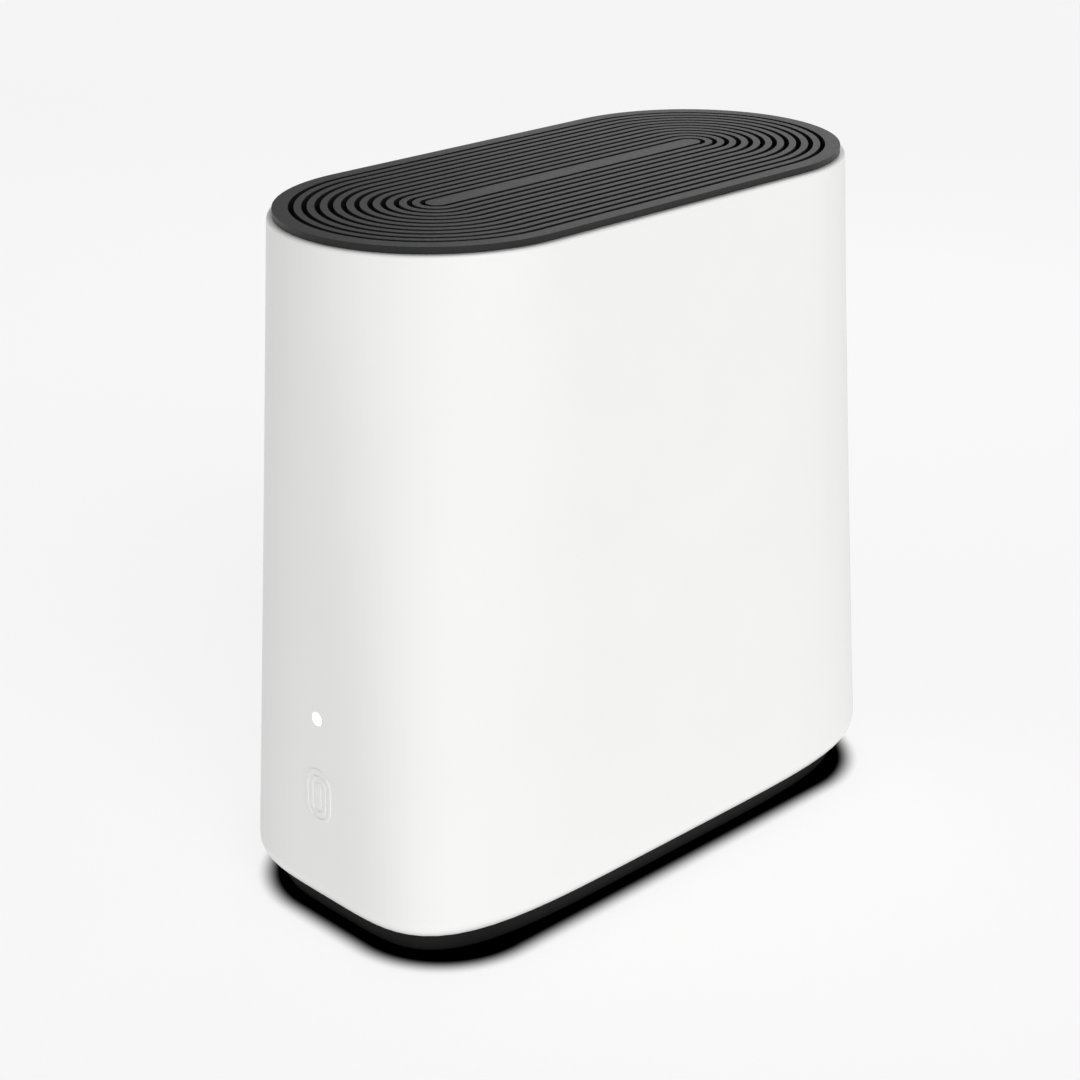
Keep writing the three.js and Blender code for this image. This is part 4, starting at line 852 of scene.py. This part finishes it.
# ---------------------------------------------------------------- port panel
# The black tray let into the back: walls that end flush with the sleeve, a floor with a window
# for each socket, and small plain marks beside the two buttons.

TRAY_WALL = 1.8 * MM
PANEL_DEPTH = 2 * MM
WINDOW_CORNER = 0.8 * MM
NETWORK_WINDOW = (12.2 * MM, 13.1 * MM)
PHONE_WINDOW = (10.2 * MM, 10.6 * MM)
CAGE_WINDOW = (9.7 * MM, 14.6 * MM)
DATA_WINDOW = (4.2 * MM, 9.9 * MM)
DATA_CORNER = 1.9 * MM
POWER_WINDOW = 4.3 * MM
PAIRING_WINDOW = 5.05 * MM
RESET_WINDOW = 1.3 * MM
panel_face = panel_low.y + PANEL_DEPTH
panel_back = panel_low.y
jack_face = panel_back - 0.3 * MM
network_names = ["wan_jack", "lan_jack_4", "lan_jack_3", "lan_jack_2", "lan_jack_1"]
phone_names = ["phone_jack_2", "phone_jack_1"]


def middle_of(name):
    low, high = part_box(name)
    return (low + high) / 2


def window(width, height, radius, x, z):
    """A tool that cuts a rounded window through the panel's floor."""
    return slab("window", (x - width / 2, panel_back - MM, z - height / 2),
                (x + width / 2, panel_face + MM, z + height / 2), radius, segments=6)


def round_window(radius, x, z):
    return rod("round_window", radius, (x, panel_back - MM, z), (x, panel_face + MM, z), 64)


panel = slab(
    "port_tray", panel_low, (panel_high.x, HALF_LENGTH + 5 * MM, panel_high.z), BAY_CORNER, segments=10)
carve(panel, slab(
    "tray_hollow", (panel_low.x + TRAY_WALL, panel_face, panel_low.z + TRAY_WALL),
    (panel_high.x - TRAY_WALL, HALF_LENGTH + 6 * MM, panel_high.z - TRAY_WALL),
    BAY_CORNER - TRAY_WALL, segments=10))
carve(panel, sleeve_form("tray_limit", 0.5 * MM), "INTERSECT")

power = middle_of("power_jack")
cage = middle_of("fibre_module_cage")
data = middle_of("data_socket")
pairing = middle_of("pairing_button")
reset = middle_of("reset_button")
cuts = [
    round_window(POWER_WINDOW, power.x, power.z),
    window(*CAGE_WINDOW, WINDOW_CORNER, cage.x, cage.z),
    window(*DATA_WINDOW, DATA_CORNER, data.x, data.z),
    round_window(RESET_WINDOW, reset.x, reset.z),
    round_window(PAIRING_WINDOW, pairing.x, pairing.z),
]
for name in network_names:
    cuts.append(window(*NETWORK_WINDOW, WINDOW_CORNER, 0, middle_of(name).z))
for name in phone_names:
    spot = middle_of(name)
    cuts.append(window(*PHONE_WINDOW, WINDOW_CORNER, spot.x, spot.z))
for tool in cuts:
    carve(panel, tool)
soften(panel, 0.25 * MM, 3, 50)
MARK_HEIGHT = 0.25 * MM
MARK_PLACE = 11 * MM
for z in (pairing.z, reset.z):
    mark = rod("mark", 1.6 * MM, (MARK_PLACE, panel_face - 0.2 * MM, z),
               (MARK_PLACE, panel_face + MARK_HEIGHT, z), 32)
    carve(mark, rod("mark_hole", 1.1 * MM, (MARK_PLACE, panel_face - MM, z),
                    (MARK_PLACE, panel_face + MM, z), 32))
    carve(panel, mark, "UNION")
smooth(panel, 40)
finish_piece(panel, black, replaces=["port_panel"])

# ---------------------------------------------------------------- network and phone sockets
# Seven moulded plug sockets. Each has a mouth with a latch slot on one side and, on the other, a
# row of sprung wires that slope back into the mouth.

MOUTH_SHIFT = 1.3 * MM
LATCH_HALF = 3 * MM
LATCH_STEP = 2.6 * MM
WIRE_HALF = 0.22 * MM
NETWORK_MOUTH = (8.4 * MM, 11.9 * MM)
NETWORK_DEPTH = 14 * MM
NETWORK_WIRES = 8
NETWORK_PITCH = 1.02 * MM
PHONE_MOUTH = (6.8 * MM, 9.8 * MM)
PHONE_DEPTH = 12 * MM
PHONE_WIRES = 4
PHONE_PITCH = 1.27 * MM

yellow = moulded("yellow_plastic", (0.66, 0.40, 0.03), (0.76, 0.48, 0.05), 0.42)
red = moulded("red_plastic", (0.45, 0.05, 0.035), (0.54, 0.07, 0.045), 0.42)
grey = moulded("grey_plastic", (0.26, 0.27, 0.28), (0.31, 0.32, 0.33), 0.5)
gilt = metal("gilt_wire", (0.78, 0.56, 0.2), (0.92, 0.7, 0.32), 0.22)


def plug_socket(node, finish, mouth, depth, wires, pitch):
    """A socket's body with its mouth and latch slot, and the wires inside as a second piece."""
    low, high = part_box(node)
    spot = (low + high) / 2
    body = block(node + "_body", low, high)
    soften(body, 0.3 * MM, 2)
    x = spot.x + MOUTH_SHIFT
    carve(body, slab("mouth", (x - mouth[0] / 2, high.y - depth, spot.z - mouth[1] / 2),
                     (x + mouth[0] / 2, high.y + MM, spot.z + mouth[1] / 2), 0.3 * MM, segments=3))
    latch_low = x - mouth[0] / 2 - LATCH_STEP
    carve(body, block("latch", (latch_low, high.y - depth + 2 * MM, spot.z - LATCH_HALF),
                      (x, high.y + MM, spot.z + LATCH_HALF)))
    soften(body, 0.18 * MM, 2)
    smooth(body, 40)
    finish_piece(body, finish, replaces=[node])
    wall = x + mouth[0] / 2
    first = spot.z - pitch * (wires - 1) / 2
    run = rod(node + "_wires", WIRE_HALF, (wall - 0.35 * MM, high.y - 2.5 * MM, first),
              (wall - 3 * MM, high.y - depth + 2 * MM, first), 8)
    modify(run, "ARRAY", count=wires, use_relative_offset=False, use_constant_offset=True,
           constant_offset_displace=(0, 0, pitch))
    smooth(run, 60)
    finish_piece(run, gilt)


for name in network_names:
    finish, slot = (red, "red_plastic") if name == "wan_jack" else (yellow, "yellow_plastic")
    plug_socket(name, finish, NETWORK_MOUTH, NETWORK_DEPTH, NETWORK_WIRES, NETWORK_PITCH)
for name in phone_names:
    plug_socket(name, grey, PHONE_MOUTH, PHONE_DEPTH, PHONE_WIRES, PHONE_PITCH)

# ---------------------------------------------------------------- fibre module cage
# A folded sheet-steel cage, open at the panel, with sprung fingers round its mouth and a row of
# small holes along one side.

CAGE_SHEET = 0.5 * MM
FINGER = 0.25 * MM
tin = metal("tinned_steel", (0.5, 0.5, 0.49), (0.68, 0.68, 0.66), 0.28, (1, 0.15, 1))
cage_low, cage_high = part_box("fibre_module_cage")
shell = block("module_cage", cage_low, cage_high)
carve(shell, block("cage_hollow", cage_low + Vector((CAGE_SHEET, MM, CAGE_SHEET)),
                   cage_high + Vector((-CAGE_SHEET, MM, -CAGE_SHEET))))
for row in range(5):
    y = cage_low.y + (6 + row * 7) * MM
    hole = rod("vent_hole", 1.2 * MM, (cage_low.x + 2 * MM, y, cage.z), (cage_high.x + MM, y, cage.z), 24)
    carve(shell, hole)
finger_root = cage_high.y - 6 * MM
finger_tip = cage_high.y - 0.2 * MM
fingers = []
for side in (-1, 1):
    for place in (-4.4, -1.5, 1.5, 4.4):
        x = cage.x + side * ((cage_high.x - cage_low.x) / 2 - CAGE_SHEET)
        z = cage.z + place * MM
        fingers.append(block("finger", (x - FINGER, finger_root, z - MM), (x + FINGER, finger_tip, z + MM)))
    for place in (-2.2, 2.2):
        z = cage.z + side * ((cage_high.z - cage_low.z) / 2 - CAGE_SHEET)
        x = cage.x + place * MM
        fingers.append(block("finger", (x - MM, finger_root, z - FINGER), (x + MM, finger_tip, z + FINGER)))
for finger in fingers:
    carve(shell, finger, "UNION")
smooth(shell, 30)
finish_piece(shell, tin, replaces=["fibre_module_cage"])

# ---------------------------------------------------------------- data socket
# The reversible data socket: an oval steel sleeve with a black tongue and a row of contacts on
# each face of it.

data_low, data_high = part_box("data_socket")
OVAL_WALL = 0.35 * MM
oval_radius = (data_high.x - data_low.x) / 2
oval = slab("data_sleeve", data_low, data_high, oval_radius * 0.99, segments=12)
carve(oval, slab(
    "oval_hollow", (data_low.x + OVAL_WALL, data_low.y + MM, data_low.z + OVAL_WALL),
    (data_high.x - OVAL_WALL, data_high.y + MM, data_high.z - OVAL_WALL),
    (oval_radius - OVAL_WALL) * 0.99, segments=12))
smooth(oval, 35)
finish_piece(oval, tin, replaces=["data_socket"])
tongue = block("data_tongue", (data.x - 0.35 * MM, data_low.y + MM, data.z - 3.3 * MM),
               (data.x + 0.35 * MM, data_high.y - 0.8 * MM, data.z + 3.3 * MM))
soften(tongue, 0.1 * MM, 2)
smooth(tongue, 40)
finish_piece(tongue, black)
strips = block("data_contacts", (data.x - 0.4 * MM, data_low.y + 2 * MM, data.z - 2.85 * MM),
               (data.x + 0.4 * MM, data_high.y - 1.6 * MM, data.z - 2.65 * MM))
modify(strips, "ARRAY", count=12, use_relative_offset=False, use_constant_offset=True,
       constant_offset_displace=(0, 0, 0.5 * MM))
finish_piece(strips, gilt)

# ---------------------------------------------------------------- power inlet
# The round low-voltage inlet: a black block with a steel-lined bore and a rounded centre pin.
# No cord is part of the object.

power_low, power_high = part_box("power_jack")
BORE_RADIUS = 2.9 * MM
BORE_DEPTH = 9.5 * MM
PIN_RADIUS = 1.05 * MM
inlet = block("power_inlet", power_low, power_high)
soften(inlet, 0.3 * MM, 2)
bore_end = power_high.y - BORE_DEPTH
carve(inlet, rod("bore", BORE_RADIUS, (power.x, bore_end, power.z),
                 (power.x, power_high.y + MM, power.z), 64))
smooth(inlet, 40)
finish_piece(inlet, black, replaces=["power_jack"])
lining = turned("inlet_lining", (power.x, power.z), "Y", [
    (BORE_RADIUS - 0.02 * MM, bore_end), (BORE_RADIUS - 0.02 * MM, power_high.y - 0.6 * MM),
    (BORE_RADIUS - 0.25 * MM, power_high.y - 0.6 * MM), (BORE_RADIUS - 0.25 * MM, bore_end + 0.3 * MM),
    (PIN_RADIUS, bore_end + 0.3 * MM), (PIN_RADIUS, power_high.y - 1.8 * MM),
    (PIN_RADIUS * 0.86, power_high.y - 1.2 * MM), (PIN_RADIUS * 0.5, power_high.y - 0.88 * MM),
    (PIN_RADIUS * 0.15, power_high.y - 0.8 * MM)])
smooth(lining, 35)
finish_piece(lining, tin)

# ---------------------------------------------------------------- buttons
# A white pairing button with a dished face and a small red reset plunger behind a pinhole. Both
# have a flange behind the panel and a stem into their switch.


def push_button(node, finish, cap_radius, dish, body):
    low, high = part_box(node)
    spot = (low + high) / 2
    flange = (high.x - low.x) / 2
    stem = 1.2 * MM
    edge = 0.1 * cap_radius
    button = turned(node + "_cap", (spot.x, spot.z), "Y", [
        (stem * 0.5, low.y), (stem - 0.2 * MM, low.y), (stem, low.y + 0.2 * MM), (stem, jack_face - 1.5 * MM),
        (flange - 0.15 * MM, jack_face - 1.5 * MM), (flange, jack_face - 1.35 * MM),
        (flange, jack_face - 0.15 * MM), (flange - 0.15 * MM, jack_face),
        (cap_radius, jack_face), (cap_radius, high.y - edge),
        (cap_radius - 0.3 * edge, high.y - 0.3 * edge), (cap_radius - edge, high.y),
        (cap_radius * 0.8, high.y - dish * 0.25), (cap_radius * 0.6, high.y - dish * 0.6),
        (cap_radius * 0.4, high.y - dish * 0.85), (cap_radius * 0.2, high.y - dish * 0.97),
        (cap_radius * 0.06, high.y - dish)])
    smooth(button, 35)
    finish_piece(button, finish, body=body, replaces=[node])


push_button("pairing_button", white, 4.75 * MM, 0.55 * MM, "pairing_button")
push_button("reset_button", red, 1 * MM, 0.1 * MM, "reset_button")

# ---------------------------------------------------------------- inside
# The inner pieces keep their own meshes and get a finish each: laminate with its tracks and
# vias, resin, bare and tinned metal, pads, plastic and cable jacket.


def dress(finish, *names):
    """Every slot of the named nodes gets the finish."""
    for name in names:
        for place in nodes[name].material_slots:
            place.material = finish.material


def numbered(name, count):
    return [f"{name}_{number}" for number in range(1, count + 1)]


TRACK_PITCH = 2.4 * MM
TRACK_WIDTH = 0.45 * MM
VIA_RADIUS = 0.12
VIA_PITCH = 4.8 * MM
laminate = Finish("green_laminate", (0.015, 0.11, 0.055), 0.35, Coat_Weight=0.3)
y_axis, z_axis = laminate.axes()[1:]
lane = laminate.noise(0.012, 0, (1, 0.25, 1)) > 0.5
tracks_y = ((z_axis % TRACK_PITCH) < TRACK_WIDTH) * lane
tracks_z = ((y_axis % TRACK_PITCH) < TRACK_WIDTH) * (1 - lane)
copper = laminate.colors(tracks_y + tracks_z, (0.012, 0.09, 0.045), (0.03, 0.17, 0.085))
vias = laminate.node("ShaderNodeTexVoronoi", {"feature": "DISTANCE_TO_EDGE"}, {
    "Vector": laminate.place(), "Scale": 1 / VIA_PITCH, "Randomness": 0.4})
near = laminate.node("ShaderNodeTexVoronoi", {}, {
    "Vector": laminate.place(), "Scale": 1 / VIA_PITCH, "Randomness": 0.4})
laminate.vary("Base Color", laminate.colors(near < VIA_RADIUS, copper, (0.72, 0.55, 0.25)))
laminate.vary("Metallic", (near < VIA_RADIUS) * 0.9)
laminate.vary("Roughness", laminate.between(vias, 0.3, 0.42))
laminate.bump(tracks_y + tracks_z, 0.00004)
dress(laminate, "main_board", "light_board", *numbered("antenna", 4))

resin = moulded("chip_resin", (0.02, 0.02, 0.021), (0.034, 0.034, 0.036), 0.42)
dress(resin, "processor", *numbered("memory_chip", 2), "pairing_switch", "reset_switch")
extruded = metal("extruded_aluminium", (0.5, 0.51, 0.53), (0.66, 0.67, 0.69), 0.34, (1, 1, 0.08))
dress(extruded, "heat_sink", "heat_spreader")
dress(tin, "radio_can_low_band", "radio_can_mid_band", "radio_can_high_band", "power_capacitor")
dress(zinc, *numbered("board_screw", 4), *numbered("heat_sink_screw", 4))
dress(grey, "chassis")
pad = moulded("thermal_pad", (0.36, 0.44, 0.5), (0.44, 0.52, 0.58), 0.8, 0.00005)
dress(pad, "processor_pad", "rear_pad")
jacket = moulded("cable_jacket", (0.02, 0.02, 0.02), (0.032, 0.032, 0.032), 0.5)
dress(jacket, *numbered("antenna_lead", 4))
diode = Finish("white_diode", (0.9, 0.9, 0.82), 0.3, Emission_Color=(1, 1, 1, 1), Emission_Strength=1.5)
diode.vary("Roughness", diode.between(diode.noise(0.0006), 0.25, 0.4))
dress(diode, "status_led")
